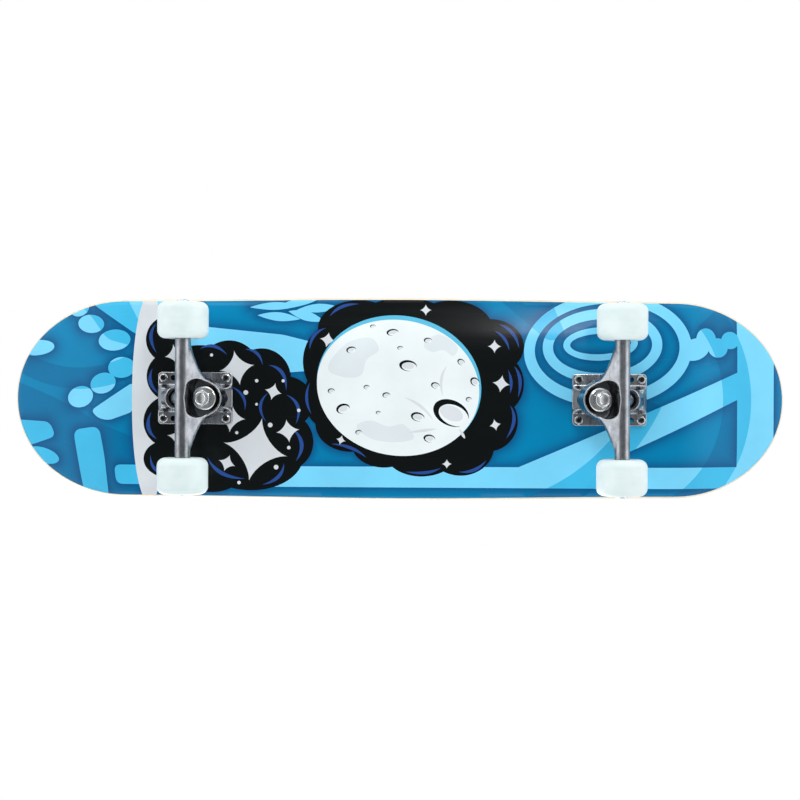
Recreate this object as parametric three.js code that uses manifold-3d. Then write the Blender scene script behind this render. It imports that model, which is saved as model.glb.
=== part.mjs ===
// A street skateboard: seven-ply deck with raised nose and tail, two trucks and four wheels.
// Millimetres. +X points to the nose, +Y to the rider's left, +Z up, and the wheels stand on Z = 0.
import * as THREE from "three";
import { mergeVertices } from "three/addons/utils/BufferGeometryUtils.js";
import Module from "manifold-3d";

const wasm = await Module();
wasm.setup();

// ---------- Driving dimensions ----------

// Deck
const DECK_LENGTH = 805;
const DECK_WIDTH = 206.4;
const DECK_END_WIDTH = 201.2; // where the rounded nose and tail begin
const DECK_THICKNESS = 11;
const END_CURVE_LENGTH = 120; // length of each rounded end
const KICK_START = 257; // from the deck's middle to the start of each kick
const KICK_BEND_RADIUS = 150;
const KICK_ANGLE = 22 * (Math.PI / 180);
const CONCAVE_DEPTH = 9;
const CONCAVE_FLAT_HALF_WIDTH = 38;
const GRIP_THICKNESS = 0.9;
const GRIP_INSET = 0.8;
const GLUE_GAP = 0.1;

// Trucks, in the truck's own frame: +X inboard, +Z up, origin on the mounting face
const TRUCK_SPACING = 420.5; // between the centres of the two bolt patterns
const TRUCK_SHIFT = -2.4; // the nose is a little longer than the tail
const TRUCK_HEIGHT = 53; // mounting face to axle centre
const SEAT_GAP = 0.3; // printed film between deck and baseplate
const BOLT_PATTERN_LENGTH = 63.5;
const BOLT_PATTERN_WIDTH = 41.3;
const INNER_HOLE_STEP = 9.5; // the third pair of holes, for the shorter bolt pattern
const AXLE_OFFSET = -5.5; // outboard of the bolt pattern's centre
const KINGPIN_TILT = 12 * (Math.PI / 180);
const KINGPIN_OFFSET = 18; // inboard of the bolt pattern's centre, at the hanger's ring
const PIVOT_CENTRE = new THREE.Vector3(-19, 0, -15.5);
const PIVOT_TILT = 30 * (Math.PI / 180);

// Baseplate
const BASE_LENGTH = 75.5;
const BASE_WIDTH = 53;
const FLANGE_THICKNESS = 5;
const BASE_CORNER = 4;
const RIB_HEIGHT = 12;
const RIB_TOP_WIDTH = 20;
const RIB_BOTTOM_WIDTH = 27.5;
const RIB_END_SLOPE = 5;
const BOSS_WALL = 2.3;
const BOSS_RIM = 3; // above the pivot's centre
const TOWER_HALF_WIDTH = 10;
const TOWER_INBOARD = 9;
const TOWER_OUTBOARD = 12;
const TOWER_CORNER = 3;
const SEAT_THICKNESS = 6; // between the kingpin's head and the board-side washer
const HEAD_SUNK = 0.15; // the kingpin's head stays this far under the mounting face
const HEAD_POCKET_GAP = 1;
const KINGPIN_HOLE_GAP = 0.3;
const WASHER_ROOM = 1; // round the board-side washer

// Kingpin stack, measured along the kingpin from the middle of the hanger's ring
const KINGPIN_RADIUS = 4.76;
const KINGPIN_HEAD_RADIUS = 8;
const KINGPIN_HEAD_HEIGHT = 5.5;
const KINGPIN_END = 1.4; // thread showing past the nut
const KINGPIN_CHAMFER = 0.7;
const RING_ABOVE = 5; // ring material on the deck side of its middle
const RING_BELOW = 4; // ring material on the road side, to the pocket's floor
const BOARD_BUSHING_HEIGHT = 13.5;
const BOARD_BUSHING_RADIUS = 12;
const ROAD_BUSHING_HEIGHT = 10.5;
const ROAD_BUSHING_RADIUS = 12.4;
const ROAD_BUSHING_END_RADIUS = 10.4;
const BUSHING_BORE_GAP = 0.4;
const BUSHING_BULGE = 0.8; // the bushings' sides swell by this much
const BUSHING_EDGE = 2.8; // height of the sloping edge above and below the swell
const CUP_WASHER_RADIUS = 11.3;
const CUP_WASHER_THICKNESS = 1.5;
const CUP_WASHER_LIP = 0.6;
const KINGPIN_NUT_FLATS = 14.3;
const KINGPIN_NUT_HEIGHT = 8;
const CONTACT_GAP = 0.1; // between pieces clamped face to face
const THREAD_GAP = 0.15; // radial, between a nut's bore and its bolt

// Hanger
const HANGER_LENGTH = 127;
const HOUSING_RADIUS = 7.7;
const RING_WALL = 2;
const RING_RIM = 13;
const POCKET_GAP = 2.4; // between the road-side bushing and the pocket's wall
const POCKET_CORNER_RADIUS = 8;
const POCKET_HALF_WIDTH = 18.9;
const POCKET_OUTBOARD = 13.6;
const KINGPIN_PLAY = 2; // radial, in the ring, so that the hanger can tilt
const BUSHING_ROOM = 1; // radial, round the board-side bushing
const WING_LENGTH = 51; // from the hanger's middle to where its wing begins
const WING_TAPER = 0.3; // how fast the wing widens towards the ring
const WING_ROOT = 12; // where the wing meets the ring
const WING_FILLET = 11; // extra width at its root
const WING_FADE = 8; // and how quickly that fades along the axle
const WING_RADIUS = 6.5;
const WING_RISE = 0.61; // the wing rises this much towards the deck per mm inboard
const PIVOT_BALL_RADIUS = 6;
const PIVOT_FLARE = 1; // radial, from the ball to the end of the straight pivot
const PIVOT_LENGTH = 9; // from the ball's centre
const NECK_ROOT_RISE = 8; // above the axle's centre, where the pivot's neck ends
const NECK_ROOT_INBOARD = 6;
const NECK_ROOT_RADIUS = 9.5;

// Pivot cup
const CUP_CLEARANCE = 0.3; // between the pivot ball and its cup
const CUP_WALL = 3;
const CUP_RIM = 3.8;
const CUP_FLARE = 1.3;
const CUP_FLOOR = 2.3;

// Axle, wheels and bearings
const AXLE_RADIUS = 4;
const AXLE_TIP = 0.7; // axle showing past its nut
const AXLE_CHAMFER = 0.7;
const AXLE_FIT = 0.12;
const AXLE_NUT_FLATS = 12.7;
const AXLE_NUT_HEIGHT = 6.8;
const WHEEL_DIAMETER = 50;
const WHEEL_WIDTH = 36;
const WHEEL_CORNER = 8;
const WHEEL_FACE_RADIUS = 14.6; // outer edge of the recess in the wheel's face
const WHEEL_CORE_RADIUS = 9; // the web between the two bearings
const BEARING_RADIUS = 11;
const BEARING_WIDTH = 7;
const BEARING_FIT = 0.06;
const BEARING_BALL_RADIUS = 9.4; // inside of the outer race
const SHIELD_RADIUS = 6.5;
const SHIELD_THICKNESS = 0.5;
const INNER_RACE_RADIUS = 6;
const SPACER_LENGTH = 10;
const SPACER_RADIUS = 5.3;
const SPEED_WASHER_THICKNESS = 0.9;

// Mounting hardware
const BOLT_RADIUS = 2.4;
const BOLT_HEAD_RADIUS = 4.8;
const BOLT_HEAD_RIM = 0.5;
const BOLT_CLEARANCE = 0.4; // radial, in the deck and the baseplate
const BOLT_TIP = 1.6; // thread showing past the nut
const BOLT_CHAMFER = 0.4;
const RECESS_WIDTH = 1.2;
const RECESS_SPAN = 5.2;
const RECESS_DEPTH = 1.6;
const NUT_FLATS = 8;
const NUT_HEIGHT = 5;
const HEAD_GAP = 0.15;
const NUT_COLLAR_SHARE = 0.3; // of a nut's height
const NUT_COLLAR_WIDTH = 0.92; // of its width across flats

// Facets round a full turn
const WHEEL_SIDES = 24;
const ROUND_SIDES = 16;
const SMALL_SIDES = 12;
const OUTLINE_SIDES = 30;
const END_STEPS = 12; // along a quarter of the deck's rounded ends
const SIDE_STEPS = 6;
const BEND_STEPS = 5; // along each kick's bend
const CONCAVE_STEPS = 4;
const TRIM_MARGIN = 2; // by which the bent slab is larger than the deck's plan

const CUT_REACH = 150; // longer than any piece that is cut right through

// ---------- Derived places ----------

const AXLE_Z = WHEEL_DIAMETER / 2;
const MOUNT_FACE_Z = AXLE_Z + TRUCK_HEIGHT;
const DECK_BOTTOM_Z = MOUNT_FACE_Z + SEAT_GAP;
const DECK_TOP_Z = DECK_BOTTOM_Z + DECK_THICKNESS;
const GRIP_TOP_Z = DECK_TOP_Z + GLUE_GAP + GRIP_THICKNESS;
const AXLE_CENTRE = new THREE.Vector3(AXLE_OFFSET, 0, -TRUCK_HEIGHT);
const BEARING_STACK = 2 * BEARING_WIDTH + SPACER_LENGTH;
const WHEEL_CENTRE_Y = HANGER_LENGTH / 2 + CONTACT_GAP + SPEED_WASHER_THICKNESS + BEARING_STACK / 2;
const NUT_FACE_Y = WHEEL_CENTRE_Y + BEARING_STACK / 2 + SPEED_WASHER_THICKNESS + CONTACT_GAP;
const BOLT_HOLE_RADIUS = BOLT_RADIUS + BOLT_CLEARANCE;
const BASE_NUT_Z = MOUNT_FACE_Z - FLANGE_THICKNESS - CONTACT_GAP;

// Places along the kingpin
const SEAT = -(RING_ABOVE + BOARD_BUSHING_HEIGHT + CUP_WASHER_THICKNESS + 3 * CONTACT_GAP);
const HEAD_SEAT = SEAT - SEAT_THICKNESS;
const HEAD_END = HEAD_SEAT - CONTACT_GAP - KINGPIN_HEAD_HEIGHT;
const ROAD_WASHER = RING_BELOW + ROAD_BUSHING_HEIGHT + 2 * CONTACT_GAP;
const NUT_SEAT = ROAD_WASHER + CUP_WASHER_THICKNESS + CONTACT_GAP;
const HEAD_RISE = -HEAD_END * Math.cos(KINGPIN_TILT) + KINGPIN_HEAD_RADIUS * Math.sin(KINGPIN_TILT);
const BUSHING_CENTRE = new THREE.Vector3(KINGPIN_OFFSET, 0, -HEAD_RISE - HEAD_SUNK);

// Places along the pivot
const CUP_BORE_RADIUS = PIVOT_BALL_RADIUS + CUP_CLEARANCE;
const CUP_OUTER_RADIUS = CUP_BORE_RADIUS + CUP_WALL;
const CUP_BOTTOM = -(CUP_BORE_RADIUS + CUP_FLOOR);

const aluminium = { color: 0xb9bec2, roughness: 0.3, metalness: 1 };
const steel = { color: 0xa7abad, roughness: 0.25, metalness: 1 };
const blackSteel = { color: 0x1b1c1e, roughness: 0.4, metalness: 0.8 };
const blackRubber = { color: 0x16181a, roughness: 0.6, metalness: 0 };
const maple = { color: 0xd9b98a, roughness: 0.45, metalness: 0 };
const grit = { color: 0x1a1a1b, roughness: 0.95, metalness: 0 };
const urethane = { color: 0xe6f3f3, roughness: 0.35, metalness: 0 };

// ---------- Helpers ----------

// A geometry as a solid that can be cut and joined.
function solidOf(geometry) {
  const bare = geometry.index ? geometry.toNonIndexed() : geometry.clone();
  bare.deleteAttribute("normal");
  bare.deleteAttribute("uv");
  const merged = mergeVertices(bare, 1e-4);
  return new wasm.Manifold(
    new wasm.Mesh({
      numProp: 3,
      vertProperties: new Float32Array(merged.attributes.position.array),
      triVerts: new Uint32Array(merged.index.array),
    }),
  );
}

function geometryOf(solid) {
  const made = solid.getMesh();
  const geometry = new THREE.BufferGeometry();
  geometry.setAttribute("position", new THREE.BufferAttribute(made.vertProperties, 3));
  geometry.setIndex(new THREE.BufferAttribute(made.triVerts, 1));
  geometry.computeVertexNormals();
  return geometry;
}

function joined(first, ...others) {
  return others.reduce((whole, piece) => whole.add(solidOf(piece)), solidOf(first));
}

function cutBy(solid, ...tools) {
  return tools.reduce((whole, tool) => whole.subtract(solidOf(tool)), solid);
}

function mesh(name, geometry, finish) {
  const made = new THREE.Mesh(geometry, new THREE.MeshStandardMaterial(finish));
  made.name = name;
  return made;
}

// A body of revolution about Y from [radius, height] pairs, which run anticlockwise.
function lathe(profile, sides) {
  return new THREE.LatheGeometry(
    profile.map(([radius, height]) => new THREE.Vector2(radius, height)),
    sides,
  );
}

// The same about Z.
function turned(profile, sides) {
  return lathe(profile, sides).rotateX(Math.PI / 2);
}

function rod(radius, low, high, sides) {
  return turned([[0, low], [radius, low], [radius, high], [0, high]], sides);
}

// A flat outline from X, Y points, raised along Z from low to high.
function prism(points, low, high) {
  const flat = new THREE.Shape(points.map(([x, y]) => new THREE.Vector2(x, y)));
  return new THREE.ExtrudeGeometry(flat, { depth: high - low, bevelEnabled: false })
    .translate(0, 0, low);
}

// The outline round a set of circles [x, y, radius], as a belt would lie on them.
function beltRound(circles, steps) {
  return Array.from({ length: steps }, (_, i) => {
    const angle = (2 * Math.PI * i) / steps;
    const reach = ([x, y, radius]) => x * Math.cos(angle) + y * Math.sin(angle) + radius;
    const far = circles.reduce((best, circle) => (reach(circle) > reach(best) + 1e-9 ? circle : best));
    return [far[0] + far[2] * Math.cos(angle), far[1] + far[2] * Math.sin(angle)];
  });
}

function roundedRectangle(length, width, corner, steps) {
  const corners = [1, -1].flatMap((sx) =>
    [1, -1].map((sy) => [sx * (length / 2 - corner), sy * (width / 2 - corner), corner]));
  return beltRound(corners, steps);
}

function hexagon(flats) {
  return Array.from({ length: 6 }, (_, i) => {
    const angle = (i * Math.PI) / 3 + Math.PI / 6;
    const radius = flats / Math.sqrt(3);
    return [radius * Math.cos(angle), radius * Math.sin(angle)];
  });
}

// A hexagon nut along Z with a round collar for its nylon insert.
function nut(flats, height, bore, sides) {
  const shoulder = height * (1 - NUT_COLLAR_SHARE);
  const body = joined(
    prism(hexagon(flats), 0, shoulder),
    rod(flats * NUT_COLLAR_WIDTH * 0.5, shoulder / 2, height, sides),
  );
  return geometryOf(cutBy(body, rod(bore, -CUT_REACH, CUT_REACH, sides)));
}

// ---------- Deck ----------

function kickRise(x) {
  const past = Math.abs(x) - KICK_START;
  if (past <= 0) return 0;
  const bend = KICK_BEND_RADIUS * Math.sin(KICK_ANGLE);
  if (past < bend) return KICK_BEND_RADIUS - Math.sqrt(KICK_BEND_RADIUS ** 2 - past ** 2);
  return KICK_BEND_RADIUS * (1 - Math.cos(KICK_ANGLE)) + (past - bend) * Math.tan(KICK_ANGLE);
}

function kickSlope(x) {
  const past = Math.max(0, Math.abs(x) - KICK_START);
  return Math.min(Math.tan(KICK_ANGLE), past / Math.sqrt(Math.max(1, KICK_BEND_RADIUS ** 2 - past ** 2)));
}

function concaveRise(y) {
  const past = Math.max(0, Math.abs(y) - CONCAVE_FLAT_HALF_WIDTH);
  return CONCAVE_DEPTH * (past / (DECK_WIDTH / 2 - CONCAVE_FLAT_HALF_WIDTH)) ** 2;
}

function deckHalfWidth(x) {
  const straight = DECK_LENGTH / 2 - END_CURVE_LENGTH;
  const past = Math.abs(x) - straight;
  if (past > 0) return (DECK_END_WIDTH / 2) * Math.sqrt(Math.max(0, 1 - (past / END_CURVE_LENGTH) ** 2));
  const swell = Math.cos((Math.PI * x) / (2 * straight)) ** 2;
  return DECK_END_WIDTH / 2 + ((DECK_WIDTH - DECK_END_WIDTH) / 2) * swell;
}

// The deck's plan, from the nose round by the right side. Each rounded end is walked by
// angle, so that its points crowd where it curves.
function deckOutline(inset) {
  const straight = DECK_LENGTH / 2 - END_CURVE_LENGTH;
  const shrink = 1 - (2 * inset) / DECK_LENGTH;
  const half = [];
  for (let i = 1; i < END_STEPS; i++) {
    half.push(straight + END_CURVE_LENGTH * Math.cos((Math.PI * i) / (2 * END_STEPS)));
  }
  for (let i = 0; i < SIDE_STEPS; i++) half.push(straight * (1 - i / SIDE_STEPS));
  const stations = [...half, 0, ...half.map((x) => -x).reverse()];
  const left = stations.map((x) => [x * shrink, deckHalfWidth(x) - inset]);
  const right = left.map(([x, y]) => [x, -y]);
  const tip = (DECK_LENGTH / 2) * shrink;
  return [[tip, 0], ...left, [-tip, 0], ...right.reverse()];
}

// Grid lines along and across the deck, closer where it bends.
function deckStations() {
  const bendEnd = KICK_START + KICK_BEND_RADIUS * Math.sin(KICK_ANGLE);
  const margin = DECK_LENGTH / 2 + TRIM_MARGIN;
  const half = [KICK_START / 2];
  for (let i = 0; i <= BEND_STEPS; i++) half.push(KICK_START + ((bendEnd - KICK_START) * i) / BEND_STEPS);
  half.push((bendEnd + margin) / 2, margin);
  return [...half.map((x) => -x).reverse(), 0, ...half];
}

function deckLanes() {
  const edge = DECK_WIDTH / 2 + TRIM_MARGIN;
  const half = [];
  for (let i = 0; i <= CONCAVE_STEPS; i++) {
    half.push(CONCAVE_FLAT_HALF_WIDTH + ((edge - CONCAVE_FLAT_HALF_WIDTH) * i) / CONCAVE_STEPS);
  }
  return [...half.map((y) => -y).reverse(), ...half];
}

// A sheet that follows the deck's kicks and concave between two heights above the deck's
// underside, trimmed to its plan.
function bentSheet(low, high, inset) {
  const stations = deckStations();
  const lanes = deckLanes();
  const slab = new THREE.BoxGeometry(1, 1, 1, stations.length - 1, lanes.length - 1, 1);
  const place = slab.attributes.position;
  for (let i = 0; i < place.count; i++) {
    const x = stations[Math.round((place.getX(i) + 0.5) * (stations.length - 1))];
    const y = lanes[Math.round((place.getY(i) + 0.5) * (lanes.length - 1))];
    const through = low + (place.getZ(i) + 0.5) * (high - low);
    const z = DECK_BOTTOM_Z + kickRise(x) + concaveRise(y) + through * Math.hypot(1, kickSlope(x));
    place.setXYZ(i, x, y, z);
  }
  const trim = prism(deckOutline(inset), 0, DECK_LENGTH);
  return solidOf(slab).intersect(solidOf(trim));
}

function boltPlaces() {
  const places = [];
  for (const [end, middle] of truckEnds()) {
    for (const along of [1, -1]) {
      for (const [side, across] of [["left", 1], ["right", -1]]) {
        places.push({
          name: `${end}_${along * Math.sign(middle) > 0 ? "outer" : "inner"}_${side}`,
          x: middle + (along * BOLT_PATTERN_LENGTH) / 2,
          y: (across * BOLT_PATTERN_WIDTH) / 2,
        });
      }
    }
  }
  return places;
}

function truckEnds() {
  return [
    ["front", TRUCK_SHIFT + TRUCK_SPACING / 2],
    ["rear", TRUCK_SHIFT - TRUCK_SPACING / 2],
  ];
}

// The countersunk bolt head's profile above the shank, grown by a clearance.
function headProfile(grown, above) {
  const cone = BOLT_HEAD_RADIUS - BOLT_RADIUS;
  return [
    [0, -cone - BOLT_HEAD_RIM - grown],
    [BOLT_RADIUS + grown, -cone - BOLT_HEAD_RIM - grown],
    [BOLT_HEAD_RADIUS + grown, -BOLT_HEAD_RIM],
    [BOLT_HEAD_RADIUS + grown, above],
    [0, above],
  ];
}

function makeDeck() {
  let solid = bentSheet(0, DECK_THICKNESS, 0);
  for (const { x, y } of boltPlaces()) {
    solid = cutBy(
      solid,
      rod(BOLT_HOLE_RADIUS, 0, CUT_REACH, SMALL_SIDES).translate(x, y, 0),
      turned(headProfile(HEAD_GAP, DECK_THICKNESS), SMALL_SIDES).translate(x, y, GRIP_TOP_Z),
    );
  }
  return mesh("deck", geometryOf(solid), maple);
}

function makeGrip() {
  let solid = bentSheet(DECK_THICKNESS + GLUE_GAP, DECK_THICKNESS + GLUE_GAP + GRIP_THICKNESS, GRIP_INSET);
  for (const { x, y } of boltPlaces()) {
    const hole = rod(BOLT_HEAD_RADIUS + HEAD_GAP, 0, CUT_REACH, SMALL_SIDES);
    solid = cutBy(solid, hole.translate(x, y, 0));
  }
  return mesh("grip_tape", geometryOf(solid), grit);
}

// ---------- Mounting hardware ----------

function makeBolt({ name, x, y }) {
  const tip = BASE_NUT_Z - NUT_HEIGHT - BOLT_TIP - GRIP_TOP_Z;
  const shape = [
    [0, tip],
    [BOLT_RADIUS - BOLT_CHAMFER, tip],
    [BOLT_RADIUS, tip + BOLT_CHAMFER],
    ...headProfile(0, 0).slice(1),
  ];
  const arms = [[RECESS_SPAN, RECESS_WIDTH], [RECESS_WIDTH, RECESS_SPAN]].map(([length, width]) =>
    new THREE.BoxGeometry(length, width, 2 * RECESS_DEPTH));
  const solid = cutBy(solidOf(turned(shape, SMALL_SIDES)), ...arms);
  const made = mesh(`bolt_${name}`, geometryOf(solid), blackSteel);
  made.position.set(x, y, GRIP_TOP_Z);
  return made;
}

function makeNut({ name, x, y }) {
  const geometry = nut(NUT_FLATS, NUT_HEIGHT, BOLT_RADIUS + THREAD_GAP, SMALL_SIDES);
  const made = mesh(`nut_${name}`, geometry, steel);
  made.rotation.x = Math.PI;
  made.position.set(x, y, BASE_NUT_Z);
  return made;
}

// ---------- Trucks ----------

// Frames inside the truck. In both, +Z runs towards the road: along the kingpin from the
// middle of the hanger's ring, and along the pivot from the centre of its ball.
const kingpinFrame = new THREE.Matrix4()
  .makeRotationY(KINGPIN_TILT)
  .multiply(new THREE.Matrix4().makeRotationX(Math.PI))
  .setPosition(BUSHING_CENTRE);
const pivotFrame = new THREE.Matrix4()
  .makeRotationY(-PIVOT_TILT)
  .multiply(new THREE.Matrix4().makeRotationX(Math.PI))
  .setPosition(PIVOT_CENTRE);

function makeBaseplate(end) {
  const flange = prism(
    roundedRectangle(BASE_LENGTH, BASE_WIDTH, BASE_CORNER, OUTLINE_SIDES), -FLANGE_THICKNESS, 0);
  const ribSide = [
    [-RIB_BOTTOM_WIDTH / 2, 0],
    [-RIB_BOTTOM_WIDTH / 2, -FLANGE_THICKNESS],
    [-RIB_TOP_WIDTH / 2, -RIB_HEIGHT],
    [RIB_TOP_WIDTH / 2, -RIB_HEIGHT],
    [RIB_BOTTOM_WIDTH / 2, -FLANGE_THICKNESS],
    [RIB_BOTTOM_WIDTH / 2, 0],
  ];
  const rib = prism(ribSide, -BASE_LENGTH / 2, BASE_LENGTH / 2)
    .rotateX(Math.PI / 2)
    .rotateZ(Math.PI / 2);
  const boss = rod(CUP_OUTER_RADIUS + BOSS_WALL, CUP_BOTTOM - BOSS_WALL, BOSS_RIM, 2 * SMALL_SIDES)
    .applyMatrix4(pivotFrame);
  const towerLength = TOWER_INBOARD + TOWER_OUTBOARD;
  const towerOutline = roundedRectangle(towerLength, 2 * TOWER_HALF_WIDTH, TOWER_CORNER, OUTLINE_SIDES)
    .map(([x, y]) => [x + (TOWER_INBOARD - TOWER_OUTBOARD) / 2, y]);
  const tower = prism(towerOutline, HEAD_END, SEAT).applyMatrix4(kingpinFrame);

  const above = new THREE.BoxGeometry(CUT_REACH, CUT_REACH, CUT_REACH).translate(0, 0, CUT_REACH / 2);
  const kingpinHole = rod(KINGPIN_RADIUS + KINGPIN_HOLE_GAP, -CUT_REACH, 0, SMALL_SIDES)
    .applyMatrix4(kingpinFrame);
  const headPocket = rod(KINGPIN_HEAD_RADIUS + HEAD_POCKET_GAP, -CUT_REACH, HEAD_SEAT, SMALL_SIDES)
    .applyMatrix4(kingpinFrame);
  const washerRoom = rod(CUP_WASHER_RADIUS + CUP_WASHER_LIP + WASHER_ROOM, SEAT, 0, ROUND_SIDES)
    .applyMatrix4(kingpinFrame);
  const cupBore = rod(
    CUP_OUTER_RADIUS + CONTACT_GAP, CUP_BOTTOM - CONTACT_GAP, CUT_REACH, ROUND_SIDES)
    .applyMatrix4(pivotFrame);
  // The two ends of the rib slope down to the flange.
  const ribEnd = BASE_LENGTH / 2;
  const slopeOutline = [
    [ribEnd - RIB_END_SLOPE, -RIB_HEIGHT],
    [ribEnd - RIB_END_SLOPE, -CUT_REACH],
    [ribEnd + CUT_REACH, -CUT_REACH],
    [ribEnd + CUT_REACH, -FLANGE_THICKNESS],
    [ribEnd, -FLANGE_THICKNESS],
  ];
  const slopes = [0, Math.PI].map((turn) =>
    prism(slopeOutline, -CUT_REACH, CUT_REACH).rotateX(Math.PI / 2).rotateZ(turn));
  const holes = [1, -1].flatMap((side) =>
    [BOLT_PATTERN_LENGTH / 2, -BOLT_PATTERN_LENGTH / 2, INNER_HOLE_STEP - BOLT_PATTERN_LENGTH / 2]
      .map((x) => rod(BOLT_HOLE_RADIUS, -CUT_REACH, CUT_REACH, SMALL_SIDES)
        .translate(x, (side * BOLT_PATTERN_WIDTH) / 2, 0)));
  const plate = cutBy(joined(flange, rib), ...slopes);
  const raised = joined(boss, tower);
  const solid = cutBy(
    plate.add(raised), above, kingpinHole, headPocket, washerRoom, cupBore, ...holes);
  return mesh(`baseplate_${end}`, geometryOf(solid), aluminium);
}

// The hanger's cross-section at a distance y along the axle: a belt round the axle housing
// and the wing, which shrinks back into the housing towards the wheels.
function hangerSection(y, steps) {
  const out = Math.max(Math.abs(y), WING_ROOT);
  const fillet = WING_FILLET * Math.exp((WING_ROOT - out) / WING_FADE);
  const flare = Math.max(0, WING_TAPER * (WING_LENGTH - out) + fillet);
  const wingX = AXLE_OFFSET + HOUSING_RADIUS + flare - WING_RADIUS;
  const wingZ = -TRUCK_HEIGHT + WING_RISE * (wingX - AXLE_OFFSET);
  return beltRound(
    [[AXLE_OFFSET, -TRUCK_HEIGHT, HOUSING_RADIUS], [wingX, wingZ, WING_RADIUS]], steps);
}

// A cylinder's rings moved onto the hanger's cross-sections.
function hangerWings() {
  const sides = 18;
  const rings = 14;
  const bar = new THREE.CylinderGeometry(1, 1, 1, sides, rings);
  const place = bar.attributes.position;
  const stationAt = (t) => Math.sign(t) * (HANGER_LENGTH / 2) * Math.abs(t) ** 1.3;
  for (let i = 0; i < place.count; i++) {
    const y = stationAt(2 * place.getY(i));
    const section = hangerSection(y, sides);
    const turn = Math.atan2(place.getZ(i), place.getX(i)) / (2 * Math.PI);
    const onAxis = Math.hypot(place.getX(i), place.getZ(i)) < 0.5;
    const [x, z] = section[(Math.round(turn * sides) + sides) % sides];
    place.setXYZ(i, onAxis ? AXLE_CENTRE.x : x, y, onAxis ? AXLE_CENTRE.z : z);
  }
  return bar;
}

function pocketCircles(grown) {
  const noseRadius = ROAD_BUSHING_RADIUS + POCKET_GAP;
  const cornerX = POCKET_CORNER_RADIUS - POCKET_OUTBOARD;
  const cornerY = POCKET_HALF_WIDTH - POCKET_CORNER_RADIUS;
  return [
    [0, 0, noseRadius + grown],
    [cornerX, cornerY, POCKET_CORNER_RADIUS + grown],
    [cornerX, -cornerY, POCKET_CORNER_RADIUS + grown],
  ];
}

function rodBetween(start, end, startRadius, endRadius, sides) {
  const along = new THREE.Vector3().subVectors(end, start);
  const turn = new THREE.Quaternion()
    .setFromUnitVectors(new THREE.Vector3(0, 1, 0), along.clone().normalize());
  return new THREE.CylinderGeometry(endRadius, startRadius, along.length(), sides)
    .applyQuaternion(turn)
    .translate(...start.clone().add(end).multiplyScalar(0.5));
}

// The lower half of a ball's profile, from its foot on the axis to its waist.
function ballProfile(radius) {
  const steps = 4;
  const profile = [[0, -radius]];
  for (let i = 1; i <= steps; i++) {
    const angle = (Math.PI / 2) * (i / steps - 1);
    profile.push([radius * Math.cos(angle), radius * Math.sin(angle)]);
  }
  return profile;
}

function makeHanger(end) {
  const ring = prism(beltRound(pocketCircles(RING_WALL), OUTLINE_SIDES), -RING_ABOVE, RING_RIM)
    .applyMatrix4(kingpinFrame);
  const neckRadius = PIVOT_BALL_RADIUS + PIVOT_FLARE;
  const pivot = turned(
    [...ballProfile(PIVOT_BALL_RADIUS), [neckRadius, PIVOT_LENGTH], [0, PIVOT_LENGTH]], ROUND_SIDES)
    .applyMatrix4(pivotFrame);
  const neckStart = new THREE.Vector3(0, 0, PIVOT_LENGTH * 0.7).applyMatrix4(pivotFrame);
  const neckEnd = AXLE_CENTRE.clone()
    .add(new THREE.Vector3(NECK_ROOT_INBOARD, 0, NECK_ROOT_RISE));
  const neck = rodBetween(neckStart, neckEnd, neckRadius, NECK_ROOT_RADIUS, ROUND_SIDES);
  const whole = joined(hangerWings(), ring, pivot, neck);

  const pocket = prism(beltRound(pocketCircles(0), OUTLINE_SIDES), RING_BELOW, CUT_REACH)
    .applyMatrix4(kingpinFrame);
  const kingpinHole = rod(KINGPIN_RADIUS + KINGPIN_PLAY, -CUT_REACH, CUT_REACH, SMALL_SIDES)
    .applyMatrix4(kingpinFrame);
  const boreRadius = AXLE_RADIUS + AXLE_FIT;
  const axleBore = lathe(
    [[0, -CUT_REACH], [boreRadius, -CUT_REACH], [boreRadius, CUT_REACH], [0, CUT_REACH]],
    SMALL_SIDES,
  ).translate(...AXLE_CENTRE);
  // The neck and ring stop short of the board-side bushing.
  const bushingRoom = rod(BOARD_BUSHING_RADIUS + BUSHING_ROOM, SEAT, -RING_ABOVE, ROUND_SIDES)
    .applyMatrix4(kingpinFrame);
  const solid = cutBy(whole, pocket, kingpinHole, axleBore, bushingRoom);
  return mesh(`hanger_${end}`, geometryOf(solid), aluminium);
}

function makePivotCup(end) {
  const profile = [
    [0, CUP_BOTTOM],
    [CUP_OUTER_RADIUS, CUP_BOTTOM],
    [CUP_OUTER_RADIUS, CUP_RIM],
    [CUP_BORE_RADIUS + CUP_FLARE, CUP_RIM],
    ...ballProfile(CUP_BORE_RADIUS).reverse(),
  ];
  const geometry = turned(profile, ROUND_SIDES).applyMatrix4(pivotFrame);
  return mesh(`pivot_cup_${end}`, geometry, blackRubber);
}

function makeKingpin(end) {
  const head = prism(
    hexagon(KINGPIN_HEAD_RADIUS * Math.sqrt(3)), HEAD_END, HEAD_END + KINGPIN_HEAD_HEIGHT);
  const tip = NUT_SEAT + KINGPIN_NUT_HEIGHT + KINGPIN_END;
  const shank = turned([
    [0, HEAD_END],
    [KINGPIN_RADIUS, HEAD_END],
    [KINGPIN_RADIUS, tip - KINGPIN_CHAMFER],
    [KINGPIN_RADIUS - KINGPIN_CHAMFER, tip],
    [0, tip],
  ], SMALL_SIDES);
  const geometry = geometryOf(joined(head, shank)).applyMatrix4(kingpinFrame);
  return mesh(`kingpin_${end}`, geometry, steel);
}

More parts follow.
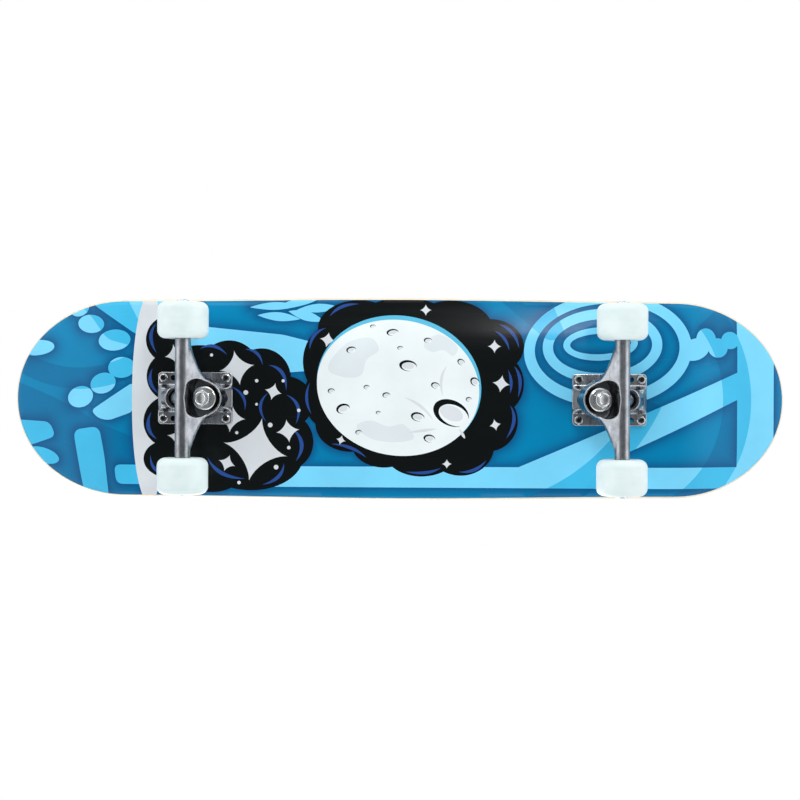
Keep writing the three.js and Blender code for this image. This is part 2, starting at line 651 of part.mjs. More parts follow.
function makeBushings(end) {
  const bore = KINGPIN_RADIUS + BUSHING_BORE_GAP;
  const boardHigh = -RING_ABOVE - CONTACT_GAP;
  const boardLow = boardHigh - BOARD_BUSHING_HEIGHT;
  const board = turned([
    [bore, boardLow],
    [BOARD_BUSHING_RADIUS - BUSHING_BULGE, boardLow],
    [BOARD_BUSHING_RADIUS, boardLow + BUSHING_EDGE],
    [BOARD_BUSHING_RADIUS, boardHigh - BUSHING_EDGE],
    [BOARD_BUSHING_RADIUS - BUSHING_BULGE, boardHigh],
    [bore, boardHigh],
    [bore, boardLow],
  ], ROUND_SIDES);
  const roadLow = RING_BELOW + CONTACT_GAP;
  const roadHigh = roadLow + ROAD_BUSHING_HEIGHT;
  const road = turned([
    [bore, roadLow],
    [ROAD_BUSHING_RADIUS - BUSHING_BULGE, roadLow],
    [ROAD_BUSHING_RADIUS, roadLow + BUSHING_EDGE],
    [ROAD_BUSHING_END_RADIUS, roadHigh],
    [bore, roadHigh],
    [bore, roadLow],
  ], ROUND_SIDES);
  return [
    mesh(`bushing_board_${end}`, board.applyMatrix4(kingpinFrame), blackRubber),
    mesh(`bushing_road_${end}`, road.applyMatrix4(kingpinFrame), blackRubber),
  ];
}

// A washer whose edge flares towards the bushing beside it.
function cupWasher(name, seat, bushingAbove) {
  const bore = KINGPIN_RADIUS + BUSHING_BORE_GAP;
  const flared = CUP_WASHER_RADIUS + CUP_WASHER_LIP;
  const profile = [
    [bore, seat],
    [bushingAbove ? CUP_WASHER_RADIUS : flared, seat],
    [bushingAbove ? flared : CUP_WASHER_RADIUS, seat + CUP_WASHER_THICKNESS],
    [bore, seat + CUP_WASHER_THICKNESS],
    [bore, seat],
  ];
  return mesh(name, turned(profile, ROUND_SIDES).applyMatrix4(kingpinFrame), steel);
}

function makeKingpinNut(end) {
  const geometry = nut(KINGPIN_NUT_FLATS, KINGPIN_NUT_HEIGHT, KINGPIN_RADIUS + THREAD_GAP, SMALL_SIDES)
    .translate(0, 0, NUT_SEAT)
    .applyMatrix4(kingpinFrame);
  return mesh(`kingpin_nut_${end}`, geometry, steel);
}

function makeAxle(end) {
  const half = NUT_FACE_Y + AXLE_NUT_HEIGHT + AXLE_TIP;
  const geometry = lathe([
    [0, -half],
    [AXLE_RADIUS - AXLE_CHAMFER, -half],
    [AXLE_RADIUS, -half + AXLE_CHAMFER],
    [AXLE_RADIUS, half - AXLE_CHAMFER],
    [AXLE_RADIUS - AXLE_CHAMFER, half],
    [0, half],
  ], SMALL_SIDES);
  const made = mesh(`axle_${end}`, geometry, steel);
  made.position.copy(AXLE_CENTRE);
  return made;
}

// ---------- Wheels and bearings, each along Y about its own middle ----------

// The flats of the wheel's facets lie at its radius, and one of them faces the ground.
function wheelGeometry() {
  const half = WHEEL_WIDTH / 2;
  const treadRadius = WHEEL_DIAMETER / 2 / Math.cos(Math.PI / WHEEL_SIDES);
  const seatEnd = BEARING_STACK / 2;
  const seatStart = SPACER_LENGTH / 2;
  const tread = half - WHEEL_CORNER;
  const side = [
    [WHEEL_CORE_RADIUS, seatStart],
    [BEARING_RADIUS, seatStart],
    [BEARING_RADIUS, seatEnd],
    [WHEEL_FACE_RADIUS, half],
  ];
  const cornerSteps = 2;
  for (let i = 0; i <= cornerSteps; i++) {
    const angle = (Math.PI / 2) * (1 - i / cornerSteps);
    side.push([
      treadRadius - WHEEL_CORNER + WHEEL_CORNER * Math.cos(angle),
      tread + WHEEL_CORNER * Math.sin(angle),
    ]);
  }
  const lower = side.map(([radius, y]) => [radius, -y]);
  return lathe([...lower, ...side.slice().reverse(), lower[0]], WHEEL_SIDES);
}

function outerRaceGeometry() {
  const half = BEARING_WIDTH / 2 - BEARING_FIT;
  const outer = BEARING_RADIUS - BEARING_FIT;
  const shield = half - SHIELD_THICKNESS;
  return lathe([
    [SHIELD_RADIUS, -half],
    [outer, -half],
    [outer, half],
    [SHIELD_RADIUS, half],
    [SHIELD_RADIUS, shield],
    [BEARING_BALL_RADIUS, shield],
    [BEARING_BALL_RADIUS, -shield],
    [SHIELD_RADIUS, -shield],
    [SHIELD_RADIUS, -half],
  ], SMALL_SIDES);
}

// The two inner races, the spacer between them and the speed washers, clamped as one stack.
function innerStackGeometry() {
  const bore = AXLE_RADIUS + AXLE_FIT;
  const spacer = SPACER_LENGTH / 2;
  const end = BEARING_STACK / 2 + SPEED_WASHER_THICKNESS;
  return lathe([
    [bore, -end],
    [INNER_RACE_RADIUS, -end],
    [INNER_RACE_RADIUS, -spacer],
    [SPACER_RADIUS, -spacer],
    [SPACER_RADIUS, spacer],
    [INNER_RACE_RADIUS, spacer],
    [INNER_RACE_RADIUS, end],
    [bore, end],
    [bore, -end],
  ], SMALL_SIDES);
}

function makeWheelEnd(end, side, localSide) {
  const name = `${end}_${side}`;
  const wheelY = localSide * WHEEL_CENTRE_Y;
  const bearingStep = (SPACER_LENGTH + BEARING_WIDTH) / 2;
  const wheel = mesh(`wheel_${name}`, wheelGeometry(), urethane);
  wheel.position.set(0, wheelY, 0);
  wheel.rotation.y = Math.PI / WHEEL_SIDES;
  const stack = mesh(`bearing_sleeve_${name}`, innerStackGeometry(), steel);
  stack.position.set(0, wheelY, 0);
  const races = [["inner", -1], ["outer", 1]].map(([place, sign]) => {
    const race = mesh(`bearing_race_${name}_${place}`, outerRaceGeometry(), steel);
    race.position.set(0, wheelY + sign * localSide * bearingStep, 0);
    race.rotation.y = wheel.rotation.y;
    return race;
  });
  const axleNut = mesh(
    `axle_nut_${name}`,
    nut(AXLE_NUT_FLATS, AXLE_NUT_HEIGHT, AXLE_RADIUS + THREAD_GAP, SMALL_SIDES),
    steel,
  );
  axleNut.rotation.x = (-localSide * Math.PI) / 2;
  axleNut.position.set(0, localSide * NUT_FACE_Y, 0);
  const group = new THREE.Group();
  group.add(wheel, stack, ...races, axleNut);
  group.position.copy(AXLE_CENTRE);
  return group;
}

function makeTruck(end, middle) {
  const front = end === "front";
  const truck = new THREE.Group();
  truck.add(
    makeBaseplate(end),
    makePivotCup(end),
    makeKingpin(end),
    ...makeBushings(end),
    cupWasher(`washer_board_${end}`, SEAT + CONTACT_GAP, true),
    cupWasher(`washer_road_${end}`, ROAD_WASHER, false),
    makeKingpinNut(end),
    makeHanger(end),
    makeAxle(end),
    makeWheelEnd(end, "left", front ? -1 : 1),
    makeWheelEnd(end, "right", front ? 1 : -1),
  );
  truck.rotation.z = front ? Math.PI : 0;
  truck.position.set(middle, 0, MOUNT_FACE_Z);
  return truck;
}

const skateboard = new THREE.Group();
skateboard.add(makeDeck(), makeGrip());
for (const place of boltPlaces()) skateboard.add(makeBolt(place), makeNut(place));
for (const [end, middle] of truckEnds()) skateboard.add(makeTruck(end, middle));

export default skateboard;
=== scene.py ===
"""A street skateboard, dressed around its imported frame.

Sizes are in millimetres, and every mesh is made in metres. +X is the nose, +Y the rider's left.
"""

import math

import bmesh
import bpy
import numpy as np
from mathutils import Matrix, Vector, geometry, kdtree


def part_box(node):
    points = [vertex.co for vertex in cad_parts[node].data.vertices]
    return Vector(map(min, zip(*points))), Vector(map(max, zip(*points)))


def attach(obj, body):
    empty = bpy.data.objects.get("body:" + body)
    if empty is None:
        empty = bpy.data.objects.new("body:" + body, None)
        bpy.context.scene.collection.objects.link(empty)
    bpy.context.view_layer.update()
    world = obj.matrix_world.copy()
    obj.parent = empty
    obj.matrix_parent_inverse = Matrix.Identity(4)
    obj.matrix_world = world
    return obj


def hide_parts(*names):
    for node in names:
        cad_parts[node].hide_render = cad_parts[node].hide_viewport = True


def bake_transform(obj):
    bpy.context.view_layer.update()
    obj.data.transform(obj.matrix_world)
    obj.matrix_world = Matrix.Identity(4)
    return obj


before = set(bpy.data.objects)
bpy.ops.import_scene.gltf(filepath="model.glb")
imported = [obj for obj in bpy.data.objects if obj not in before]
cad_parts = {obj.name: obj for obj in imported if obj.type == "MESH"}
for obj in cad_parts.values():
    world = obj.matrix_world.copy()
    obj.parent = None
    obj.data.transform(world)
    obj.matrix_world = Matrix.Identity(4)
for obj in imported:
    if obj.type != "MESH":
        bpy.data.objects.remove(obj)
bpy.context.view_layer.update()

# ---------- Deck ----------
# Seven veneers of rock maple, glued and pressed in a mould that raises the nose, the tail and the
# two long edges. The edge is rounded with a router and lacquered, so its layers show as thin lines.

MM = 0.001
deck_low, deck_high = (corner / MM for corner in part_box("deck"))
DECK_LENGTH = deck_high.x - deck_low.x
DECK_WIDTH = deck_high.y - deck_low.y
UNDERSIDE = deck_low.z
DECK_THICKNESS = 11.0
END_WIDTH = 201.2
END_LENGTH = 120.0
KICK_START = 257.0
KICK_RADIUS = 150.0
KICK_ANGLE = math.radians(22)
CONCAVE_DEPTH = 9.0
CONCAVE_FLAT = 38.0
EDGE_RADIUS = 2.2
PLIES = 7
STRAIGHT = DECK_LENGTH / 2 - END_LENGTH


def kick_rise(x):
    """How far the kicks lift the deck at x."""
    past = np.clip(np.abs(x) - KICK_START, 0, None)
    bend = KICK_RADIUS * math.sin(KICK_ANGLE)
    curved = KICK_RADIUS - np.sqrt(KICK_RADIUS**2 - np.minimum(past, bend) ** 2)
    return curved + np.clip(past - bend, 0, None) * math.tan(KICK_ANGLE)


def kick_stretch(x):
    """A sheet on a slope is this much thicker when it is measured straight up."""
    past = np.clip(np.abs(x) - KICK_START, 0, KICK_RADIUS * math.sin(KICK_ANGLE))
    return KICK_RADIUS / np.sqrt(KICK_RADIUS**2 - past**2)


def concave_rise(y):
    past = np.clip(np.abs(y) - CONCAVE_FLAT, 0, None)
    return CONCAVE_DEPTH * (past / (DECK_WIDTH / 2 - CONCAVE_FLAT)) ** 2


def deck_height(x, y, above):
    """Z of the point that lies `above` the underside in the sheet's own thickness."""
    return UNDERSIDE + kick_rise(x) + concave_rise(y) + above * kick_stretch(x)


def deck_outline(inset, side_steps, end_steps):
    """The deck's plan as a closed ring of points, drawn in along its normals by the inset."""
    side = np.linspace(0, STRAIGHT, side_steps, endpoint=False)
    swell = np.cos(math.pi * side / (2 * STRAIGHT)) ** 2
    side_width = END_WIDTH / 2 + (DECK_WIDTH - END_WIDTH) / 2 * swell
    angle = np.linspace(math.pi / 2, 0, end_steps)
    end = STRAIGHT + END_LENGTH * np.cos(angle)
    quarter_x = np.concatenate([side, end])
    quarter_y = np.concatenate([side_width, END_WIDTH / 2 * np.sin(angle)])
    quarter = np.stack([quarter_x, quarter_y], 1)
    upper = np.concatenate([quarter[::-1], quarter[1:] * [-1, 1]])
    ring = np.concatenate([upper, upper[-2:0:-1] * [1, -1]])
    along = np.roll(ring, -1, 0) - np.roll(ring, 1, 0)
    along /= np.linalg.norm(along, axis=1, keepdims=True)
    inward = np.stack([-along[:, 1], along[:, 0]], 1)
    return ring + inward * inset


def in_scene(name, data):
    """A new object in the scene, at the origin."""
    made = bpy.data.objects.new(name, data)
    bpy.context.scene.collection.objects.link(made)
    return made


def new_object(name, verts, faces):
    """A mesh object at the origin from points in millimetres."""
    made = bpy.data.meshes.new(name)
    made.from_pydata((np.asarray(verts, float) * MM).tolist(), [], faces)
    made.update()
    made.shade_smooth()
    return in_scene(name, made)


def ring_faces(rings, count):
    """Quads between consecutive rings of `count` points."""
    faces = []
    for r in range(rings - 1):
        for i in range(count):
            j = (i + 1) % count
            faces.append((r * count + i, r * count + j, (r + 1) * count + j, (r + 1) * count + i))
    return faces


def creased(piece, angle=35):
    """Shades smoothly except over edges sharper than the angle in degrees."""
    piece.data.shade_smooth()
    piece.data.set_sharp_from_angle(angle=math.radians(angle))
    return piece


def weld(piece, distance=0.002):
    """Merges the doubled points at seams and poles and turns every face outwards."""
    work = bmesh.new()
    work.from_mesh(piece.data)
    bmesh.ops.remove_doubles(work, verts=work.verts, dist=distance * MM)
    bmesh.ops.dissolve_degenerate(work, edges=work.edges, dist=distance * MM / 10)
    bmesh.ops.recalc_face_normals(work, faces=work.faces)
    work.to_mesh(piece.data)
    work.free()
    return creased(piece)


def pressed_sheet(name, low, high, inset, radius, arc_steps=5, across_steps=22):
    """A sheet between two heights of the deck's mould, with a rounded edge all round.
    Point attributes: ply runs 0 to 1 through the thickness, edge is the distance in from the rim."""
    arc = np.linspace(0, math.pi / 2, arc_steps)
    steps_in = radius * (1 - np.sin(arc))
    rims = [(d, low + radius * (1 - math.cos(a))) for d, a in zip(steps_in, arc)]
    rims += [(d, low + high - h) for d, h in reversed(rims)]
    verts, ply, edge = [], [], []

    def add_ring(points, above, distance):
        heights = deck_height(points[:, 0], points[:, 1], above)
        verts.append(np.column_stack([points, heights]))
        ply.append(np.full(len(points), (above - low) / (high - low)))
        edge.append(distance)

    flat = deck_outline(inset + radius, 150, 64)
    spine = np.column_stack([np.clip(flat[:, 0], -STRAIGHT, STRAIGHT), np.zeros(len(flat))])
    reach = np.linalg.norm(flat - spine, axis=1)
    shares = [k / across_steps for k in range(across_steps)]
    for share in shares:
        add_ring(spine + (flat - spine) * share, low, radius + reach * (1 - share))
    for distance, above in rims:
        ring = deck_outline(inset + distance, 150, 64)
        add_ring(ring, above, np.full(len(ring), distance))
    for share in reversed(shares):
        add_ring(spine + (flat - spine) * share, high, radius + reach * (1 - share))
    piece = new_object(name, np.concatenate(verts), ring_faces(len(verts), len(flat)))
    for label, values in (("ply", ply), ("edge", edge)):
        layer = piece.data.attributes.new(label, "FLOAT", "POINT")
        layer.data.foreach_set("value", np.concatenate(values).astype(np.float32))
    return weld(piece)


def applied(piece):
    """Replaces the mesh by what its modifiers make of it."""
    bpy.context.view_layer.update()
    evaluated = piece.evaluated_get(bpy.context.evaluated_depsgraph_get())
    baked = bpy.data.meshes.new_from_object(evaluated)
    piece.modifiers.clear()
    old = piece.data
    piece.data = baked
    baked.name = piece.name
    bpy.data.meshes.remove(old)
    return piece


def merged(name, pieces):
    """One object from several, with their places in its mesh."""
    work = bmesh.new()
    for piece in pieces:
        work.from_mesh(piece.data)
    made = bpy.data.meshes.new(name)
    work.to_mesh(made)
    work.free()
    for piece in pieces:
        bpy.data.objects.remove(piece)
    return in_scene(name, made)


def combine(piece, tool, operation):
    step = piece.modifiers.new("step", "BOOLEAN")
    step.operation = operation
    step.solver = "MANIFOLD"
    step.object = tool
    applied(piece)
    bpy.data.objects.remove(tool)
    return creased(piece)


def bored(piece, cutters):
    """Cuts the cutters, which don't touch each other, out of a piece."""
    return combine(piece, merged("cutters", cutters), "DIFFERENCE")


def turned(name, profile, sides=48):
    """A body about Z from rings of (radius, height), each one number or one for every side.
    The first and last rings lie on the axis or are the same."""
    angle = np.linspace(0, 2 * math.pi, sides, endpoint=False)
    verts = []
    for radius, height in profile:
        radius, height = np.broadcast_to(radius, sides), np.broadcast_to(height, sides)
        verts.append(np.stack([radius * np.cos(angle), radius * np.sin(angle), height], 1))
    return weld(new_object(name, np.concatenate(verts), ring_faces(len(profile), sides)))


def moved(piece, place):
    """Puts a piece in its place, which stays in its mesh."""
    matrix = place.copy()
    matrix.translation = matrix.translation * MM
    piece.data.transform(matrix)
    return piece


REAR_PLATE, FRONT_PLATE = (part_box(f"baseplate_{end}") for end in ("rear", "front"))
MOUNT_FACE = FRONT_PLATE[1].z / MM
TRUCK_MIDDLE = {
    "rear": (REAR_PLATE[0].x + REAR_PLATE[1].x) / 2 / MM,
    "front": (FRONT_PLATE[0].x + FRONT_PLATE[1].x) / 2 / MM,
}
PATTERN_LENGTH = 63.5
PATTERN_WIDTH = 41.3
BOLT_PLACES = [
    (middle + along * PATTERN_LENGTH / 2, side * PATTERN_WIDTH / 2)
    for middle in TRUCK_MIDDLE.values()
    for along in (-1, 1)
    for side in (-1, 1)
]
HOLE_RADIUS = 2.8
HEAD_RADIUS = 4.8
HEAD_OPENING = HEAD_RADIUS + 0.2
HEAD_DEPTH = 3.4
HEAD_LIP = 0.4
PAST_FACE = 5
GRIP_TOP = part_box("bolt_front_inner_left")[1].z / MM


def bolt_hole():
    """A cutter for a hole that widens to a cone for the bolt's head."""
    return [
        (0, UNDERSIDE - PAST_FACE),
        (HOLE_RADIUS, UNDERSIDE - PAST_FACE),
        (HOLE_RADIUS, GRIP_TOP - HEAD_DEPTH),
        (HEAD_OPENING, GRIP_TOP - HEAD_LIP),
        (HEAD_OPENING, GRIP_TOP + PAST_FACE),
        (0, GRIP_TOP + PAST_FACE),
    ]


def hole_cutters(profile):
    return [
        moved(turned("hole", profile, 24), Matrix.Translation((x, y, 0))) for x, y in BOLT_PLACES
    ]


def linear(red, green, blue):
    """An sRGB colour in 0 to 255 as linear values with alpha."""
    values = [c / 255 for c in (red, green, blue)]
    return tuple(c / 12.92 if c <= 0.04045 else ((c + 0.055) / 1.055) ** 2.4 for c in values) + (1.0,)


def add_node(tree, kind, inputs=None, **settings):
    """A node with its settings, and its inputs given as values or as sockets to link from."""
    made = tree.nodes.new(kind)
    for key, value in settings.items():
        setattr(made, key, value)
    for key, value in (inputs or {}).items():
        if isinstance(value, bpy.types.NodeSocket):
            tree.links.new(value, made.inputs[key])
        else:
            made.inputs[key].default_value = value
    return made


def new_material(name, **surface):
    """A material with a Principled BSDF; underscores in the keywords stand for spaces."""
    made = bpy.data.materials.new(name)
    made.use_nodes = True
    shader = made.node_tree.nodes["Principled BSDF"]
    for key, value in surface.items():
        shader.inputs[key.replace("_", " ").title().replace("Ior", "IOR")].default_value = value
    return made, made.node_tree, shader


def mixed(tree, share, first, second, kind="MIX"):
    """The Color output of a mix of two colours or sockets."""
    made = add_node(tree, "ShaderNodeMix", {0: share, 6: first, 7: second}, data_type="RGBA")
    made.blend_type = kind
    return made.outputs[2]


def spread(tree, value, low, high, new_low=0.0, new_high=1.0):
    inputs = {"Value": value, "From Min": low, "From Max": high, "To Min": new_low, "To Max": new_high}
    return add_node(tree, "ShaderNodeMapRange", inputs).outputs[0]


def stretched_position(tree, scale=(1, 1, 1)):
    """Object coordinates in metres, stretched by a scale on each axis."""
    place = add_node(tree, "ShaderNodeTexCoord").outputs["Object"]
    return add_node(tree, "ShaderNodeMapping", {"Vector": place, "Scale": scale}).outputs[0]


def attribute(tree, name, output="Fac"):
    return add_node(tree, "ShaderNodeAttribute", attribute_name=name).outputs[output]


def reckoned(tree, operation, *values):
    """The result of a Math node on one or two values or sockets."""
    return add_node(tree, "ShaderNodeMath", dict(enumerate(values)), operation=operation).outputs[0]


def noise(tree, vector, scale, detail, roughness=0.5):
    """Soft noise with a scale per metre and finer noise over it."""
    inputs = {"Vector": vector, "Scale": scale, "Detail": detail, "Roughness": roughness}
    return add_node(tree, "ShaderNodeTexNoise", inputs).outputs["Fac"]


def surfaced(tree, shader, colour, roughness=None):
    tree.links.new(colour, shader.inputs["Base Color"])
    if roughness is not None:
        tree.links.new(roughness, shader.inputs["Roughness"])


def bumped(tree, shader, height, strength, distance):
    """Raises and lowers the surface by a height, over a distance in metres."""
    bump = add_node(tree, "ShaderNodeBump", {"Height": height, "Strength": strength, "Distance": distance})
    tree.links.new(bump.outputs[0], shader.inputs["Normal"])


def grain_group():
    """Wood grain: fine dark pores that run along X, and a slow change of tone."""
    group = bpy.data.node_groups.new("maple_grain", "ShaderNodeTree")
    group.interface.new_socket("Pore Scale", in_out="INPUT", socket_type="NodeSocketFloat")
    for name in ("Pores", "Tone"):
        group.interface.new_socket(name, in_out="OUTPUT", socket_type="NodeSocketFloat")
    scale = add_node(group, "NodeGroupInput").outputs[0]
    along = stretched_position(group, (0.06, 1.0, 1.0))
    pores = spread(group, noise(group, along, scale, 6.0), 0.42, 0.62)
    outputs = {"Pores": pores, "Tone": noise(group, along, 45.0, 3.0)}
    add_node(group, "NodeGroupOutput", outputs)
    return group


maple_grain = grain_group()


def maple_material():
    made, tree, shader = new_material(
        "lacquered_maple", roughness=0.38, coat_weight=0.6, coat_roughness=0.12)
    grain = add_node(tree, "ShaderNodeGroup", {}, node_tree=maple_grain)
    grain.inputs["Pore Scale"].default_value = 900.0
    layer = reckoned(tree, "MULTIPLY", attribute(tree, "ply"), float(PLIES))
    from_middle = reckoned(tree, "SUBTRACT", reckoned(tree, "FRACT", layer), 0.5)
    glue_line = spread(tree, reckoned(tree, "ABSOLUTE", from_middle), 0.43, 0.49)
    crossed = spread(tree, reckoned(tree, "MODULO", layer, 2.0), 0.97, 1.03)
    pale = mixed(tree, grain.outputs["Tone"], linear(249, 241, 219), linear(240, 224, 190))
    wood = mixed(tree, crossed, pale, linear(222, 194, 150))
    pores = spread(tree, grain.outputs["Pores"], 0.0, 1.0, 0.0, 0.25)
    wood = mixed(tree, pores, wood, linear(150, 112, 70))
    wood = mixed(tree, spread(tree, glue_line, 0.0, 1.0, 0.0, 0.55), wood, linear(120, 84, 48))
    surfaced(tree, shader, wood)
    bumped(tree, shader, grain.outputs["Pores"], 0.12, 0.0002)
    return made


def finish_piece(piece, material, body, slot, *nodes):
    """Gives a piece its material and its body, and hides the nodes that it stands for. The slot is not used.
    """
    piece.data.materials.clear()
    piece.data.materials.append(material)
    if nodes:
        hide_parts(*nodes)
    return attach(piece, body)


deck = pressed_sheet("maple_deck", 0.0, DECK_THICKNESS, 0.0, EDGE_RADIUS)
bored(deck, hole_cutters(bolt_hole()))
finish_piece(deck, maple_material(), "board", "maple_deck", "deck")

# ---------- Grip tape ----------
# Black silicon-carbide grit on a self-adhesive sheet, laid over the top and trimmed with a file,
# which leaves a pale worn line round the rim.

GRIP_LOW = DECK_THICKNESS + 0.1
GRIP_HIGH = DECK_THICKNESS + 1.0
GRIP_INSET = 0.8
GRIP_EDGE = 0.2


def grip_material():
    made, tree, shader = new_material("grit_sheet", roughness=0.9)
    place = stretched_position(tree)
    grit = add_node(tree, "ShaderNodeTexVoronoi", {"Vector": place, "Scale": 1500.0})
    clumps = noise(tree, place, 260.0, 4.0)
    facets = add_node(tree, "ShaderNodeSeparateColor", {"Color": grit.outputs["Color"]})
    sparkle = spread(tree, facets.outputs[0], 0.93, 0.96)
    tone = mixed(tree, clumps, linear(20, 20, 21), linear(44, 44, 46))
    tone = mixed(tree, spread(tree, sparkle, 0.0, 1.0, 0.0, 0.75), tone, linear(120, 122, 126))
    rim = spread(tree, attribute(tree, "edge"), 1.6, 0.4)
    tone = mixed(tree, reckoned(tree, "MULTIPLY", rim, clumps), tone, linear(150, 146, 140))
    surfaced(tree, shader, tone, spread(tree, sparkle, 0.0, 1.0, 0.92, 0.3))
    bumped(tree, shader, reckoned(tree, "SUBTRACT", 1.0, grit.outputs["Distance"]), 0.8, 0.0003)
    return made


grip = pressed_sheet("grip_sheet", GRIP_LOW, GRIP_HIGH, GRIP_INSET, GRIP_EDGE, 3)
bored(grip, hole_cutters([
    (0, UNDERSIDE),
    (HEAD_OPENING, UNDERSIDE),
    (HEAD_OPENING, GRIP_TOP + PAST_FACE),
    (0, GRIP_TOP + PAST_FACE),
]))
finish_piece(grip, grip_material(), "board", "grip_tape", "grip_tape")

# ---------- Printed film ----------
# The underside's picture is printed on a plastic film that is heat-pressed onto the last veneer.
# It shows a cratered moon in a bank of night clouds, and stars in the clouds by the front truck,
# with ovals, bands and ripples in two blues around them.

FILM_THICKNESS = 0.2
FILM_INSET = 1.7
FILM_CELL = 4.2
FILM_GLUE = 0.04
SHAPE_STEP = 3.5
RIM_MARGIN = 2
SHADOW_DEPTH = 0.8
SHADOW_REACH = 7.0
SHADOW_FALL = 1.3
DEEP = linear(0, 133, 182)
DEEP_MID = linear(0, 117, 166)
SHADE = linear(12, 74, 128)
LIGHT = linear(122, 214, 250)
LIGHT_MID = linear(66, 188, 232)
CREAM = linear(235, 244, 245)
STRIPE = linear(217, 223, 227)
MARIA = linear(222, 232, 236)
INK = linear(12, 16, 17)
ACCENT = linear(42, 78, 148)
RIM = linear(92, 190, 224)


def laid(points, x, y, turn):
    """Points turned by an angle in degrees and then set round x, y."""
    c, s = math.cos(math.radians(turn)), math.sin(math.radians(turn))
    return points @ np.array([[c, s], [-s, c]]) + [x, y]


def oval(x, y, wide, high, turn=0.0, steps=72):
    """An oval's outline from its centre, half sizes and turn in degrees."""
    angle = np.linspace(0, 2 * math.pi, steps, endpoint=False)
    return laid(np.stack([wide * np.cos(angle), high * np.sin(angle)], 1), x, y, turn)


def star(x, y, radius, turn, steps=48):
    """A four-pointed star with hollow sides."""
    angle = np.linspace(0, 2 * math.pi, steps, endpoint=False)
    return laid(radius * np.stack([np.cos(angle) ** 3, np.sin(angle) ** 3], 1), x, y, turn)


def soft_polygon(corners, radius=4.0, steps=6):
    """A polygon with its corners rounded off by quadratic curves."""
    points, count = [], len(corners)
    for i in range(count):
        here = np.array(corners[i], float)
        ends = []
        for other in (corners[i - 1], corners[(i + 1) % count]):
            toward = np.array(other, float) - here
            length = np.linalg.norm(toward)
            ends.append(here + toward / length * min(radius, length / 2.1))
        for t in np.linspace(0, 1, steps):
            points.append((1 - t) ** 2 * ends[0] + 2 * t * (1 - t) * here + t**2 * ends[1])
    return np.array(points)


def smooth_loop(corners, steps=10):
    """A closed Catmull-Rom curve through the corners."""
    nodes = np.array(corners, float)
    t = np.linspace(0, 1, steps, endpoint=False)[:, None]
    curve = []
    for i in range(len(nodes)):
        a, b, c, d = (nodes[(i + k) % len(nodes)] for k in (-1, 0, 1, 2))
        curve.append(b + t * (c - a) / 2 + t**2 * (a - 2.5 * b + 2 * c - d / 2)
                     + t**3 * (1.5 * (b - c) + (d - a) / 2))
    return np.concatenate(curve)


def arc_band(x, y, radius, start, end, width, steps=40):
    """A band along a circle from start to end degrees."""
    angle = np.radians(start + (end - start) * np.linspace(0, 1, steps))
    circle = np.stack([np.cos(angle), np.sin(angle)], 1)
    rims = [[x, y] + (radius + side * width / 2) * circle for side in (1, -1)]
    return np.concatenate([rims[0], rims[1][::-1]])


def stroke(start, middle, end, width, steps=20):
    """A brush stroke that passes through three points and tapers to a point at each end."""
    start, middle, end = (np.array(p, float) for p in (start, middle, end))
    control = 2 * middle - (start + end) / 2
    t = np.linspace(0, 1, steps)[:, None]
    line = (1 - t) ** 2 * start + 2 * t * (1 - t) * control + t**2 * end
    along = np.gradient(line, axis=0)
    along /= np.linalg.norm(along, axis=1, keepdims=True)
    across = np.stack([-along[:, 1], along[:, 0]], 1) * width / 2 * (1 - np.abs(2 * t - 1) ** 1.8)
    return np.concatenate([line + across, (line - across)[-2:0:-1]])


